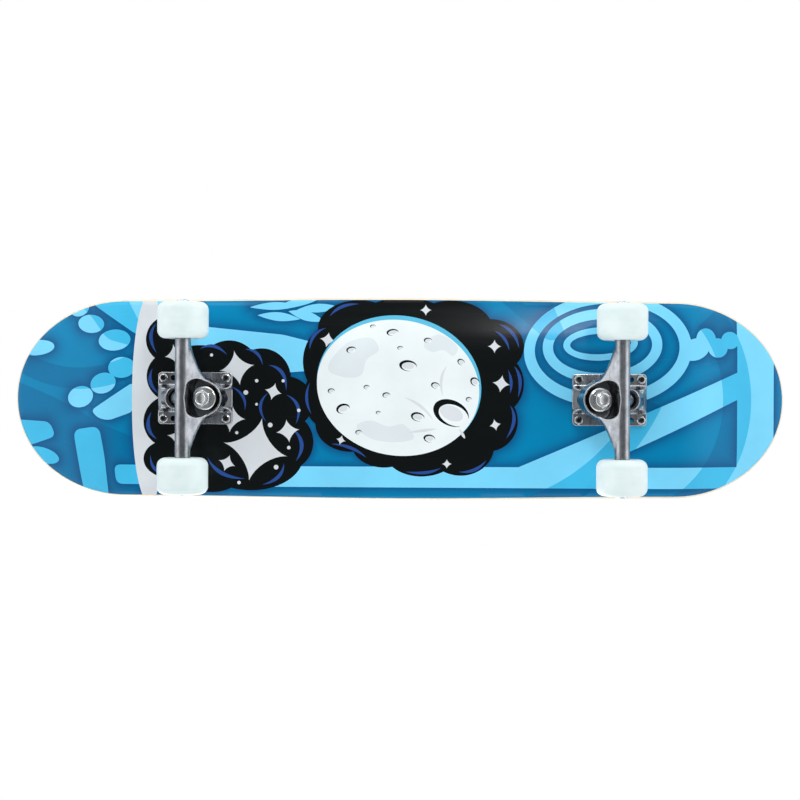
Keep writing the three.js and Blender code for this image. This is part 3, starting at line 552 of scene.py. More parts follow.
def picture():
    """The picture's shapes in the order they are printed, each an outline and a colour."""
    shapes = []

    def paint(colour, *outlines):
        shapes.extend((outline, colour) for outline in outlines)

    def ovals(colour, rows):
        paint(colour, *(oval(*row) for row in rows))

    def stars(rows):
        paint(STRIPE, *(star(*row) for row in rows))

    def strokes(colour, rows):
        """Brush strokes, each from x, y through x, y to x, y with a width."""
        for ax, ay, bx, by, cx, cy, width in rows:
            paint(colour, stroke((ax, ay), (bx, by), (cx, cy), width))

    # Bands of the background, from the nose to the tail, each with its corners' radius.
    for radius, corners in (
        (3, [(316, 96), (281, 110), (240, 110), (240, 60), (271, 66)]),
        (4, [(220, 72), (200, 73), (119, 65), (91, 58), (95, 28), (150, 24), (220, 40)]),
        (2, [(232, -69), (-392, -69), (-352, -91), (232, -90)]),
        (1, [(-121, -69), (-352, 30), (-352, 2), (-199, -69)]),
        (1, [(-349, 120), (-391, 120), (-391, -120), (-349, -120)]),
        (5, [(317, -13), (272, 16), (272, -14), (297, -23), (309, -21)]),
        (7, [(420, -22), (364, -25), (357, -40), (384, -49), (420, -56)]),
        (9, [(337, -33), (308, -29), (302, -60), (297, -120), (322, -120)]),
        (7, [(292, -68), (230, -68), (230, -88), (290, -88)]),
    ):
        paint(LIGHT, soft_polygon(corners, radius))
    # Ovals strewn over the nose.
    ovals(LIGHT, (
        (332, 93, 11, 9, -12), (318, 76, 14.5, 9.4, 6), (292, 59, 17, 10.8, -4),
        (284, 31, 14.3, 10.6, -4), (304, 15, 14, 10.4, -16), (329, 1, 14.2, 10.8, -14),
        (379, 52, 20, 8, -4), (372, -60, 19, 8, 14),
    ))
    # Streaks of wind between the front wheel and the moon.
    for x, y, length, width, turn in (
        (128, 94, 52, 8, -2), (104, 98, 40, 8, -10), (124, 83, 44, 9, 5), (96, 84, 38, 10, 16),
        (84, 92, 44, 9, -4),
    ):
        c, s = length / 2 * math.cos(math.radians(turn)), length / 2 * math.sin(math.radians(turn))
        paint(LIGHT, stroke((x + c, y + s), (x, y + 0.6), (x - c, y - s), width))
    # Ripples round the rear truck, and drops thrown off them towards the tail.
    for x, y, wide, high, colour in (
        (-212, 51, 86, 58, LIGHT), (-211, 52, 74, 46.5, DEEP), (-206, 55, 61, 38, LIGHT),
        (-206, 55, 50.5, 27.5, DEEP), (-204, 57, 38, 17, LIGHT), (-204, 57, 31, 10.5, DEEP),
    ):
        paint(colour, oval(x, y, wide, high, -3, 140))
    ovals(LIGHT, ((-302, 52, 16, 11, -20), (-314, 62, 11, 12), (-327, 54, 11, 10), (-341, 62, 10, 9)))
    # The blade-shaped stripe and the clouds behind the front truck, with bright edges and stars.
    paint(STRIPE, oval(256, 0, 17, 109, 0, 120))
    ovals(INK, (
        (236, 60, 23, 24), (231, 22, 27, 26), (233, -24, 28, 27), (237, -62, 24, 19), (204, 26, 42, 28),
        (174, 26, 32, 33), (141, 20, 30, 31), (118, -4, 30, 27), (180, -20, 60, 40), (152, -58, 54, 36),
        (192, -72, 34, 24), (118, -44, 30, 30),
    ))
    strokes(ACCENT, (
        (249, 76, 254, 62, 248, 46, 3.6), (252, 30, 254, 16, 245, 4, 3.6),
        (253, -14, 256, -30, 247, -42, 4), (254, -58, 250, -72, 238, -77, 3.2),
        (204, 50, 190, 53, 176, 44, 3.2), (158, 50, 146, 46, 140, 34, 3),
        (134, 34, 120, 26, 116, 8, 3.6), (116, 4, 104, -8, 106, -26, 3.4),
        (134, 6, 142, -8, 136, -24, 3), (110, -30, 100, -46, 106, -64, 4),
        (196, -60, 182, -76, 158, -82, 4), (140, -88, 124, -80, 118, -66, 3.6),
        (172, 12, 160, 2, 158, -12, 3),
    ))
    stars((
        (147, -52, 33, 12), (114, -33, 12, -8), (176, -66, 9, 20), (172, -20, 15, 5), (166, 31, 18, -10),
        (129, 7, 9, 14), (224, -40, 13, 10), (229, 44, 11, -12),
    ))
    for x, y, radius in (
        (126, -70, 2.4), (164, -86, 1.8), (113, -50, 1.8), (166, -35, 1.6), (132, -27, 2.4),
        (146, 18, 1.8), (186, 14, 2), (157, 6, 2.4), (103, -12, 1.8), (238, 20, 2), (146, -6, 1.4),
        (192, 44, 1.6), (119, 18, 1.6),
    ):
        paint(STRIPE, oval(x, y, radius, radius, 0, 20))
    # The moon in a bank of night clouds: its glow, its face, the dark plains and the craters.
    ovals(INK, (
        (68, 38, 31, 38), (42, 72, 42, 29), (-4, 80, 46, 24), (-52, 72, 42, 29), (-92, 54, 34, 28),
        (-99, 16, 27, 31), (-90, -22, 30, 31), (-62, -48, 34, 30), (-22, -56, 36, 23), (16, -46, 33, 24),
        (50, -26, 36, 28), (74, 2, 24, 32),
    ))
    strokes(ACCENT, (
        (92, 50, 88, 64, 76, 72, 3.4), (72, 84, 60, 94, 42, 97, 3.4),
        (-100, 77, -114, 68, -121, 52, 3.6), (-96, 70, -106, 62, -111, 50, 3),
        (-116, 34, -122, 20, -120, 2, 3.6), (-110, 30, -113, 18, -112, 6, 3),
        (-112, -6, -116, -22, -108, -40, 3.6), (-88, -62, -76, -72, -60, -74, 3.4),
        (-42, -70, -26, -75, -6, -74, 3.2), (34, -60, 50, -50, 70, -46, 3.2),
        (90, -16, 95, 0, 92, 16, 3),
    ))
    stars((
        (-103, 16, 9, 8), (-97, -26, 6, -12), (-96, 54, 7, 0), (74, 60, 8, 10), (-26, 91, 6, 0),
        (60, -42, 5, 15), (-48, -66, 5, 0),
    ))
    paint(RIM, oval(1, 14, 84, 71, 10, 160))
    paint(CREAM, oval(2, 11.5, 83, 69, 10, 160))
    for shore in (
        [(70, 40), (52, 58), (30, 62), (22, 50), (34, 40), (40, 24), (56, 22), (72, 28)],
        [(-14, -40), (8, -44), (30, -40), (44, -28), (30, -22), (12, -28), (-4, -26)],
        [(-40, 66), (-58, 54), (-54, 44), (-44, 50), (-32, 48), (-24, 56)],
    ):
        paint(MARIA, smooth_loop(shore))
    for x, y, wide, high, turn in (
        (-52, -14, 19, 13, 24), (-30, -40, 6, 4, 10), (-76, 18, 5, 4, 40), (-18, -18, 7, 4.6, 14),
        (14, 4, 4, 2.8, 0), (58, -10, 7, 5, -14), (70, 8, 3.6, 2.6, 0), (-8, 34, 9, 5.6, 6),
        (-28, 60, 4, 2.6, 0), (8, 68, 6, 3.4, -6), (34, 12, 3.2, 2.2, 0), (-62, 38, 4, 3, 30),
        (0, 52, 3, 2, 0), (-36, 14, 4.6, 3.2, 16), (42, -34, 3.4, 2.4, 0), (28, 74, 3, 1.8, 0),
        (-70, 0, 3, 2.4, 0), (50, 50, 5, 3.2, -10), (22, -14, 2.6, 1.8, 0),
    ):
        paint(INK, oval(x, y, wide, high, turn))
        paint(CREAM, oval(x - wide * 0.14, y - high * 0.18, wide * 0.84, high * 0.78, turn))
        paint(STRIPE, oval(x - wide * 0.02, y - high * 0.02, wide * 0.66, high * 0.56, turn))
    strokes(STRIPE, (
        (-34, -22, -22, -8, -4, 2, 3), (-44, 2, -42, 20, -48, 34, 3), (-60, -30, -64, -36, -66, -40, 3),
        (-38, -30, -24, -32, -8, -34, 3),
    ))
    return shapes


def overlays():
    """Large glancing shapes that shift both blues by a tone where they pass."""
    return [
        arc_band(-215, 0, 134, 140, 250, 32, steps=60),
        arc_band(-60, 90, 215, 205, 256, 26),
        arc_band(330, 150, 130, 195, 300, 22),
        soft_polygon([(420, 24), (352, -2), (300, -30), (256, -44), (256, -112), (420, -112)], 24),
        soft_polygon([(360, 120), (318, 84), (300, 60), (270, 52), (262, 70), (290, 120)], 8),
        soft_polygon([(215, 112), (40, 101), (-20, 112)], 4),
        soft_polygon([(-90, 112), (-150, 60), (-170, 62), (-150, 112)], 6),
    ]


def divided(outline, step):
    """An outline with its long edges divided into steps, so it can follow a curved surface."""
    points = []
    for here, there in zip(outline, np.roll(outline, -1, 0)):
        parts = max(1, math.ceil(math.dist(here, there) / step))
        points.extend(here + (there - here) * k / parts for k in range(parts))
    return np.array(points)


def inside(points, outline):
    """Which points lie inside a closed outline."""
    x, y = points[:, 0], points[:, 1]
    found = np.zeros(len(points), bool)
    ends = np.roll(outline, -1, 0)
    for (ax, ay), (bx, by) in zip(outline, ends):
        crosses = (ay > y) != (by > y)
        if crosses.any():
            found ^= crosses & (x < (bx - ax) * (y - ay) / (by - ay if by != ay else 1) + ax)
    return found


def printed_film():
    rim = deck_outline(FILM_INSET, 90, 50)
    shapes, tones = picture(), overlays()
    holes = [oval(x, y, HOLE_RADIUS, HOLE_RADIUS, 0, 20) for x, y in BOLT_PLACES]
    drawn = [outline for outline, _ in shapes] + tones
    outlines = [rim] + holes + [divided(outline, SHAPE_STEP) for outline in drawn]
    xs = np.arange(-DECK_LENGTH / 2, DECK_LENGTH / 2, FILM_CELL)
    ys = np.arange(-DECK_WIDTH / 2, DECK_WIDTH / 2, FILM_CELL)
    cells = np.array([(x + (k % 2) * FILM_CELL / 2, y) for k, y in enumerate(ys) for x in xs])
    points, edges = [], []
    for outline in outlines:
        first = len(points)
        points.extend(outline.tolist())
        edges.extend((first + i, first + (i + 1) % len(outline)) for i in range(len(outline)))
    points.extend(cells[inside(cells, deck_outline(FILM_INSET + RIM_MARGIN, 60, 30))].tolist())
    flat, _, triangles, *_ = geometry.delaunay_2d_cdt([Vector(p) for p in points], edges, [], 0, 1e-4)
    flat = np.array(flat)
    triangles = np.array([t for t in triangles if len(t) == 3])
    centres = flat[triangles].mean(1)
    keep = inside(centres, rim)
    for hole in holes:
        keep &= ~inside(centres, hole)
    triangles, centres = triangles[keep], centres[keep]
    colour = np.tile(DEEP, (len(centres), 1))
    for outline, paint in shapes:
        colour[inside(centres, outline)] = paint
    shifted = np.zeros(len(centres), bool)
    for outline in tones:
        shifted ^= inside(centres, outline)
    is_deep = np.all(np.isclose(colour, DEEP), 1)
    is_light = np.all(np.isclose(colour, LIGHT), 1)
    colour[shifted & is_deep] = DEEP_MID
    colour[shifted & is_light] = LIGHT_MID

    # Airbrushed shadow: the deep blue darkens towards the shapes that lie on it.
    corners = np.repeat(colour[:, None, :], 3, 1)
    lifted = np.unique(triangles[~is_deep])
    tree = kdtree.KDTree(len(lifted))
    for i, index in enumerate(lifted):
        tree.insert((*flat[index], 0), i)
    tree.balance()
    distance = np.array([tree.find((*p, 0))[2] for p in flat])
    strength = SHADOW_DEPTH * np.exp(-((distance / SHADOW_REACH) ** SHADOW_FALL))[triangles][..., None]
    corners[is_deep] = (corners * (1 - strength) + np.array(SHADE) * strength)[is_deep]

    # Lower face, upper face, and the walls between them along every open edge.
    count = len(flat)
    lower = np.column_stack([flat, deck_height(flat[:, 0], flat[:, 1], -FILM_THICKNESS - FILM_GLUE)])
    upper = np.column_stack([flat, deck_height(flat[:, 0], flat[:, 1], -FILM_GLUE)])
    down = [tuple(t[::-1]) for t in triangles.tolist()]
    up = [tuple(i + count for i in t) for t in triangles.tolist()]
    sides = {}
    for a, b, c in triangles.tolist():
        for edge in ((a, b), (b, c), (c, a)):
            sides[tuple(sorted(edge))] = None if tuple(sorted(edge)) in sides else edge
    walls = [(a, b, b + count, a + count) for a, b in (edge for edge in sides.values() if edge)]
    film = new_object("printed_film", np.concatenate([lower, upper]), down + up + walls)
    layer = film.data.color_attributes.new("print", "FLOAT_COLOR", "CORNER")
    paper = np.tile(linear(232, 236, 236), (3 * len(up) + 4 * len(walls), 1))
    every = np.concatenate([corners[:, ::-1].reshape(-1, 4), paper])
    layer.data.foreach_set("color", every.astype(np.float32).ravel())
    work = bmesh.new()
    work.from_mesh(film.data)
    bmesh.ops.delete(work, geom=[v for v in work.verts if not v.link_faces], context="VERTS")
    work.to_mesh(film.data)
    work.free()
    return film


def dimmed(tree, colour, value):
    """A colour multiplied by one value."""
    grey = add_node(tree, "ShaderNodeCombineColor", {0: value, 1: value, 2: value}).outputs[0]
    return mixed(tree, 1.0, colour, grey, "MULTIPLY")


def film_material():
    made, tree, shader = new_material(
        "gloss_print", roughness=0.3, specular_ior_level=0.1, coat_weight=0.1, coat_roughness=0.12)
    place = stretched_position(tree)
    veneer = stretched_position(tree, (0.05, 1, 1))
    tone = spread(tree, noise(tree, place, 18.0, 5.0), 0.3, 0.7, 0.94, 1.05)
    rub = spread(tree, noise(tree, veneer, 90.0, 6.0), 0.35, 0.75, 0.18, 0.3)
    surfaced(tree, shader, dimmed(tree, attribute(tree, "print", "Color"), tone), rub)
    faint = reckoned(tree, "MULTIPLY", noise(tree, veneer, 420.0, 4.0), 0.35)
    height = reckoned(tree, "ADD", noise(tree, place, 620.0, 3.0), faint)
    bumped(tree, shader, height, 0.24, 0.0001)
    return made


finish_piece(printed_film(), film_material(), "board", "maple_deck")

# ---------- Baseplates ----------
# Each truck hangs from a die-cast aluminium plate. It has holes for the bolts, a rib down its
# middle, a socket for the pivot at one end and an inclined seat for the kingpin near the other.

BASE_LENGTH = 75.5
BASE_WIDTH = 53.0
FLANGE = 5.0
RIB_HEIGHT = 12.0
SPARE_HOLE = 9.5 - PATTERN_LENGTH / 2
AXLE = Vector((-5.5, 0, -53))
KINGPIN = (
    Matrix.Translation((18, 0, -33.02))
    @ Matrix.Rotation(math.radians(12), 4, "Y")
    @ Matrix.Rotation(math.pi, 4, "X")
)
PIVOT = (
    Matrix.Translation((-19, 0, -15.5))
    @ Matrix.Rotation(math.radians(-30), 4, "Y")
    @ Matrix.Rotation(math.pi, 4, "X")
)
TRUCKS = {
    "front": Matrix.Translation((TRUCK_MIDDLE["front"], 0, MOUNT_FACE)) @ Matrix.Rotation(math.pi, 4, "Z"),
    "rear": Matrix.Translation((TRUCK_MIDDLE["rear"], 0, MOUNT_FACE)),
}
SEAT = -20.3
WASHER_ROOM = 12.9
CUP_RADIUS = 9.3
CUP_BOTTOM = -8.6
CUP_RIM = 3.8
PLATE_CORNER = 4
STOCK = 3
RIB_FOOT = 13.75
RIB_CREST = 10
BOSS_RADIUS = 11.6
BOSS_FLOOR = 2.3
TOWER_LENGTH = 21
TOWER_WIDTH = 20
TOWER_SHIFT = 1.5
TOWER_TOP = -34
END_SLOPE = 5
RECESS_START = 9.5
RECESS_END = 2
RECESS_MOUTH = -14
RECESS_DEPTH = -3.2
RECESS_SLOPE = -8.6
RECESS_HALF = 9.2
KINGPIN_HOLE = 5.0
HEAD_POCKET = 9.0
HEAD_POCKET_FLOOR = -26.3


def belt(circles, steps=64):
    """The outline of a belt stretched round circles given as x, y and radius."""
    points = []
    for angle in np.linspace(0, 2 * math.pi, steps, endpoint=False):
        c, s = math.cos(angle), math.sin(angle)
        x, y, radius = max(circles, key=lambda circle: circle[0] * c + circle[1] * s + circle[2])
        points.append((x + radius * c, y + radius * s))
    return points


def rounded_rectangle(length, width, corner, steps=64):
    x, y = length / 2 - corner, width / 2 - corner
    return belt([(x, y, corner), (-x, y, corner), (-x, -y, corner), (x, -y, corner)], steps)


def prism(name, outline, low, high, place=Matrix()):
    count = len(outline)
    verts = [(x, y, z) for z in (low, high) for x, y in outline]
    faces = ring_faces(2, count) + [tuple(range(count)), tuple(range(count, 2 * count))]
    return moved(weld(new_object(name, verts, faces)), place)


def rod(radius, low, high, place=Matrix(), sides=48):
    return moved(turned("rod", [(0, low), (radius, low), (radius, high), (0, high)], sides), place)


def remeshed(piece, voxel, passes):
    """Rebuilds a piece from even small faces, which joins what overlaps and rounds its corners."""
    rebuild = piece.modifiers.new("rebuild", "REMESH")
    rebuild.mode = "VOXEL"
    rebuild.voxel_size = voxel * MM
    soften = piece.modifiers.new("soften", "SMOOTH")
    soften.factor = 0.5
    soften.iterations = passes
    return creased(applied(piece))


def cast(name, parts, cores, machined, voxel=0.6, passes=12):
    """A casting: its parts run together, its cores leave rounded hollows, its bores stay crisp."""
    piece = parts[0]
    piece.name = name
    for part in parts[1:]:
        combine(piece, part, "UNION")
    for core in cores:
        bored(piece, [core])
    remeshed(piece, voxel, passes)
    for tool in machined:
        bored(piece, [tool])
    return piece


def placed(piece, name, place):
    """A copy of a piece under another name, in its place."""
    return moved(in_scene(name, piece.data.copy()), place)


def marked_for_shade_and_sand(piece, place, share):
    """Marks each point from 0 to 1 by its place in the hollow's own frame: 1 is sandy and darkened by painted
    shade.
    """
    points = np.array([place.inverted() @ (v.co / MM) for v in piece.data.vertices])
    layer = piece.data.attributes.new("rough_in_shade", "FLOAT", "POINT")
    layer.data.foreach_set("value", share(points).astype(np.float32))
    return piece


def side_prism(outline, half):
    """A prism along Y from an outline of (x, z) points."""
    return prism("side", outline, -half, half, Matrix.Rotation(math.pi / 2, 4, "X"))


def wear_group():
    """Wear of a metal, and a painted highlight: bright sharp edges broken up by noise, partly rubbed bare
    metal and partly a painted highlight, scratches in one direction, small pits and cloudy tarnish."""
    group = bpy.data.node_groups.new("metal_wear_and_highlight", "ShaderNodeTree")
    for name in ("Scratch Scale", "Pit Scale"):
        group.interface.new_socket(name, in_out="INPUT", socket_type="NodeSocketFloat")
    for name in ("Edge", "Scratches", "Pits", "Tarnish"):
        group.interface.new_socket(name, in_out="OUTPUT", socket_type="NodeSocketFloat")
    inputs = add_node(group, "NodeGroupInput").outputs
    point = add_node(group, "ShaderNodeNewGeometry").outputs["Pointiness"]
    broken = noise(group, stretched_position(group), 500.0, 5.0)
    cell = {"Vector": stretched_position(group), "Scale": inputs[1]}
    pits = add_node(group, "ShaderNodeTexVoronoi", cell).outputs["Distance"]
    cloudy = noise(group, stretched_position(group, (1, 0.5, 1)), 150.0, 8.0, 0.68)
    add_node(group, "NodeGroupOutput", {
        "Edge": reckoned(group, "MULTIPLY", spread(group, point, 0.51, 0.56), broken),
        "Scratches": noise(group, stretched_position(group, (1, 0.05, 1)), inputs[0], 4.0),
        "Pits": spread(group, pits, 0.0, 0.25),
        "Tarnish": spread(group, cloudy, 0.36, 0.62, 1.0, 0.0),
    })
    return group


metal_wear_and_highlight = wear_group()


def metal(name, dark, bright, worn_and_highlight, roughness, scratch_scale, pit_scale, relief, tarnished=0.85):
    """A bare or plated metal with brushed streaks, small pits, bright edges that are partly rubbed bare
    and partly a painted highlight, and cloudy tarnish. Where a casting's hollow mask is 1, it is sandy
    and painted dark grey: a painted shade in the hollow."""
    made, tree, shader = new_material(name, metallic=1.0)
    wear_and_highlight = add_node(tree, "ShaderNodeGroup", {}, node_tree=metal_wear_and_highlight)
    wear_and_highlight.inputs["Scratch Scale"].default_value = scratch_scale
    wear_and_highlight.inputs["Pit Scale"].default_value = pit_scale
    scratches, pits = wear_and_highlight.outputs["Scratches"], wear_and_highlight.outputs["Pits"]
    hollow_shade_and_sand = attribute(tree, "rough_in_shade")
    tone = mixed(tree, scratches, dark, bright)
    tone = dimmed(tree, tone, spread(tree, wear_and_highlight.outputs["Tarnish"], 0.0, 1.0, 1.05, tarnished))
    tone = dimmed(tree, tone, spread(tree, pits, 0.0, 1.0, 0.72, 1.0))
    # Painted highlight, partly rubbed bare metal: sharp edges turn bright.
    tone = mixed(tree, wear_and_highlight.outputs["Edge"], tone, worn_and_highlight)
    # Painted shade: the hollow's mask darkens the tone to grey, and also makes it sandy.
    tone = mixed(tree, hollow_shade_and_sand, tone, (0.2, 0.21, 0.22, 1))
    polish = spread(tree, scratches, 0.3, 0.7, *roughness)
    sand = spread(tree, pits, 0.0, 1.0, 0.5, 0.65)
    rough_in_shade = add_node(tree, "ShaderNodeMix", {0: hollow_shade_and_sand, 2: polish, 3: sand}, data_type="FLOAT").outputs[0]
    surfaced(tree, shader, tone, rough_in_shade)
    bumped(tree, shader, reckoned(tree, "ADD", scratches, pits), relief, 0.0002)
    return made


# The bright colour of sharp edges: partly rubbed bare metal, partly a painted highlight.
BRIGHT_EDGE = (0.93, 0.95, 0.96, 1)
cast_metal = metal("polished_casting", (0.3, 0.32, 0.35, 1), (0.46, 0.48, 0.51, 1), BRIGHT_EDGE,
                   (0.2, 0.32), 260.0, 800.0, 0.1, 0.6)


def baseplate():
    end = BASE_LENGTH / 2
    flange = prism("flange", rounded_rectangle(BASE_LENGTH, BASE_WIDTH, PLATE_CORNER), -FLANGE, STOCK)
    half_rib = [(RIB_FOOT, STOCK), (RIB_FOOT, -FLANGE), (RIB_CREST, -RIB_HEIGHT)]
    rib_section = [(-x, y) for x, y in half_rib] + half_rib[::-1]
    along = Matrix(((0, 0, 1), (1, 0, 0), (0, 1, 0))).to_4x4()
    rib = prism("rib", rib_section, -end, end, along)
    boss = rod(BOSS_RADIUS, CUP_BOTTOM - BOSS_FLOOR, STOCK, PIVOT)
    tower_plan = rounded_rectangle(TOWER_LENGTH, TOWER_WIDTH, PLATE_CORNER)
    tower = prism("tower", [(x - TOWER_SHIFT, y) for x, y in tower_plan], TOWER_TOP, SEAT, KINGPIN)
    sloped_end = [
        (end - END_SLOPE, -RIB_HEIGHT), (end - END_SLOPE, -40), (end + 9, -40), (end + 9, -FLANGE),
        (end, -FLANGE),
    ]
    recess = [
        (end - RECESS_END, RECESS_DEPTH), (end - RECESS_START, RECESS_SLOPE),
        (end - RECESS_START, RECESS_MOUTH), (end + 5, RECESS_MOUTH), (end + 5, RECESS_DEPTH),
    ]
    cores = [rod(WASHER_ROOM, SEAT, 4, KINGPIN)]
    cores += [side_prism([(side * x, z) for x, z in sloped_end], 30) for side in (1, -1)]
    cores.append(side_prism(recess, RECESS_HALF))
    machined = [prism("face", rounded_rectangle(120, 120, 4), 0, 40)]
    machined += [
        rod(HOLE_RADIUS, -30, 2, Matrix.Translation((x, side * PATTERN_WIDTH / 2, 0)), 32)
        for x in (PATTERN_LENGTH / 2, SPARE_HOLE, -PATTERN_LENGTH / 2) for side in (-1, 1)
    ]
    machined += [
        rod(CUP_RADIUS + 0.3, CUP_BOTTOM - 0.3, 40, PIVOT, 64),
        rod(KINGPIN_HOLE, -60, 5, KINGPIN),
        rod(HEAD_POCKET, -60, HEAD_POCKET_FLOOR, KINGPIN),
    ]
    casting = cast("plate_casting", [flange, rib, boss, tower], cores, machined)
    # Painted shade, with a sandy finish, in the recess at the plate's inboard end.
    return marked_for_shade_and_sand(casting, Matrix(), lambda p: (p[:, 0] > end - 9.2) & (p[:, 0] < end - 1.4)
                     & (abs(p[:, 1]) < 9) & (p[:, 2] < -2.2))


plate_casting = baseplate()
for end, place in TRUCKS.items():
    finish_piece(placed(plate_casting, f"plate_casting_{end}", place), cast_metal, "board",
                 "cast_aluminium", f"baseplate_{end}")
bpy.data.objects.remove(plate_casting)

# ---------- Pivot cups ----------
# A cup of black urethane, moulded with a rolled lip and pressed into the baseplate's socket. The
# hanger's pivot turns in it.

BALL = 6.0
PIVOT_PLAY = 0.3
CUP_BORE = BALL + PIVOT_PLAY


def rubber_material(name, dark, pale, roughness):
    """A moulded plastic with a paler bloom and a fine grain."""
    made, tree, shader = new_material(name)
    place = stretched_position(tree)
    bloom = noise(tree, place, 220.0, 6.0)
    tone = mixed(tree, spread(tree, bloom, 0.35, 0.75), dark, pale)
    surfaced(tree, shader, tone, spread(tree, bloom, 0.3, 0.7, roughness, roughness + 0.15))
    bumped(tree, shader, noise(tree, place, 1600.0, 3.0), 0.15, 0.0001)
    return made


black_urethane = rubber_material("black_urethane", linear(16, 17, 19), linear(34, 35, 38), 0.4)
bowl = [(CUP_BORE * math.sin(a), -CUP_BORE * math.cos(a)) for a in np.linspace(math.pi / 2, 0, 12)]
cup_profile = [
    (0, CUP_BOTTOM), (CUP_RADIUS - 0.8, CUP_BOTTOM), (CUP_RADIUS, CUP_BOTTOM + 0.8),
    (CUP_RADIUS, CUP_RIM - 1.1), (CUP_RADIUS - 0.1, CUP_RIM - 0.5), (CUP_RADIUS - 0.6, CUP_RIM),
    (CUP_RADIUS - 1.1, CUP_RIM), (CUP_BORE + 1.3, CUP_RIM - 0.4), (CUP_BORE + 0.6, CUP_RIM - 1.4), *bowl,
]
for end, place in TRUCKS.items():
    cup = moved(turned(f"pivot_bush_{end}", cup_profile, 64), place @ PIVOT)
    finish_piece(cup, black_urethane, "board", "bushing_urethane", f"pivot_cup_{end}")

# ---------- Hangers ----------
# The part that steers is one aluminium casting: an axle housing with two wings, a pocket with a
# thin wall round the kingpin, and a pivot that runs back into the baseplate's cup.

HANGER_HALF = 63.5
HOUSING_RADIUS = 7.7
WING_RADIUS = 6.5
POCKET_CIRCLES = [(0, 0, 14.8), (-5.6, 10.9, 8.0), (-5.6, -10.9, 8.0)]
POCKET_WALL = 2
POCKET_TOP = 13
POCKET_FLOOR = 4
YOKE_BACK = -5
WING_TAPER = 0.3
WING_REACH = 51
WING_FLARE = 11
FLARE_START = 12
FLARE_LENGTH = 8
WING_DROP = 0.61
SECTION_SIDES = 96
NECK_END_RADIUS = 9.5
BUSHING_SEAT = 13.6
KINGPIN_BORE = 6.76
AXLE_BORE = 4.12


def wing_section(y):
    """The casting's cross-section at y: a belt round the axle housing and the wing's edge."""
    out = max(abs(y), FLARE_START)
    bulge = WING_FLARE * math.exp((FLARE_START - out) / FLARE_LENGTH)
    wing_x = AXLE.x + HOUSING_RADIUS + max(0, WING_TAPER * (WING_REACH - out) + bulge) - WING_RADIUS
    wing_z = AXLE.z + WING_DROP * (wing_x - AXLE.x)
    return belt([(AXLE.x, AXLE.z, HOUSING_RADIUS), (wing_x, wing_z, WING_RADIUS)], SECTION_SIDES)


def grown(circles, by):
    return [(x, y, radius + by) for x, y, radius in circles]


def hanger():
    stations = np.linspace(-HANGER_HALF, HANGER_HALF, 129)
    verts = [(AXLE.x, -HANGER_HALF, AXLE.z)] * SECTION_SIDES
    verts += [(x, y, z) for y in stations for x, z in wing_section(y)]
    verts += [(AXLE.x, HANGER_HALF, AXLE.z)] * SECTION_SIDES
    wings = weld(new_object("wings", verts, ring_faces(len(stations) + 2, SECTION_SIDES)))
    wall = belt(grown(POCKET_CIRCLES, POCKET_WALL), SECTION_SIDES)
    ring = prism("ring", wall, YOKE_BACK, POCKET_TOP, KINGPIN)
    ball = [(BALL * math.cos(a), BALL * math.sin(a)) for a in np.linspace(-math.pi / 2, 0, 12)]
    pivot = moved(turned("pivot", [*ball, (BALL + 1, 9), (0, 9)]), PIVOT)
    neck_start = PIVOT @ Vector((0, 0, 6.3))
    neck_end = AXLE + Vector((6, 0, 8))
    toward = (neck_end - neck_start).to_track_quat("Z", "X").to_matrix().to_4x4()
    length = (neck_end - neck_start).length
    neck = turned("neck", [(0, 0), (BALL + 1, 0), (NECK_END_RADIUS, length), (0, length)])
    moved(neck, Matrix.Translation(neck_start) @ toward)
    cores = [
        prism("pocket", belt(POCKET_CIRCLES, SECTION_SIDES), POCKET_FLOOR, 60, KINGPIN),
        rod(BUSHING_SEAT, SEAT, YOKE_BACK, KINGPIN),
    ]
    machined = [
        rod(KINGPIN_BORE, -60, 60, KINGPIN, 64),
        rod(AXLE_BORE, -80, 80, Matrix.Translation(AXLE) @ Matrix.Rotation(math.pi / 2, 4, "X"), 48),
    ]
    casting = cast("hanger_casting", [wings, ring, pivot, neck], cores, machined, 0.55, 14)
    pocket = np.array(belt(grown(POCKET_CIRCLES, 0.5), SECTION_SIDES))
    # Painted shade, with a sandy finish, in the pocket, darker deeper in towards its floor.
    return marked_for_shade_and_sand(casting, KINGPIN, lambda p: inside(p[:, :2], pocket) * (p[:, 2] > -6)
                     * np.clip((12 - p[:, 2]) / 11, 0, 1))


hanger_casting = hanger()
for end, place in TRUCKS.items():
    finish_piece(placed(hanger_casting, f"hanger_casting_{end}", place), cast_metal, f"hanger_{end}",
                 "cast_aluminium", f"hanger_{end}")
bpy.data.objects.remove(hanger_casting)

# ---------- Kingpins, bushings and washers ----------
# A hexagon-headed bolt through the baseplate holds the hanger between two urethane bushings. A cup
# washer covers each bushing's outer end, and a lock nut with a nylon insert sets the squeeze.

SIDES = 72
FINE_PITCH = 1.06
KINGPIN_RADIUS = 4.76
HEAD_FLATS = 13.86
HEAD_TOP = -31.9
WASHER_BORE = 5.1
angles = np.linspace(0, 2 * math.pi, SIDES, endpoint=False)


def hexagon(flats):
    """A hexagon's radius at every side of a turned body."""
    return flats / 2 / np.cos((angles + math.pi / 6) % (math.pi / 3) - math.pi / 6)


def chamfered(flats, corner, face, sign):
    """Where a 30 degree cone cuts a hexagon's corners, below (or above) a flat face."""
    return face - sign * (hexagon(flats) - corner).clip(0) * math.tan(math.radians(30))


def thread_rings(radius, pitch, low, high):
    """Rings along a helical thread that fades out at its start."""
    rings = []
    depth = 0.54 * pitch
    for height in np.arange(low, high, pitch / 5):
        phase = (height / pitch - angles / (2 * math.pi)) % 1
        cut = depth * np.abs(2 * phase - 1) * min(1, (height - low) / pitch)
        rings.append((radius - cut, height))
    return rings


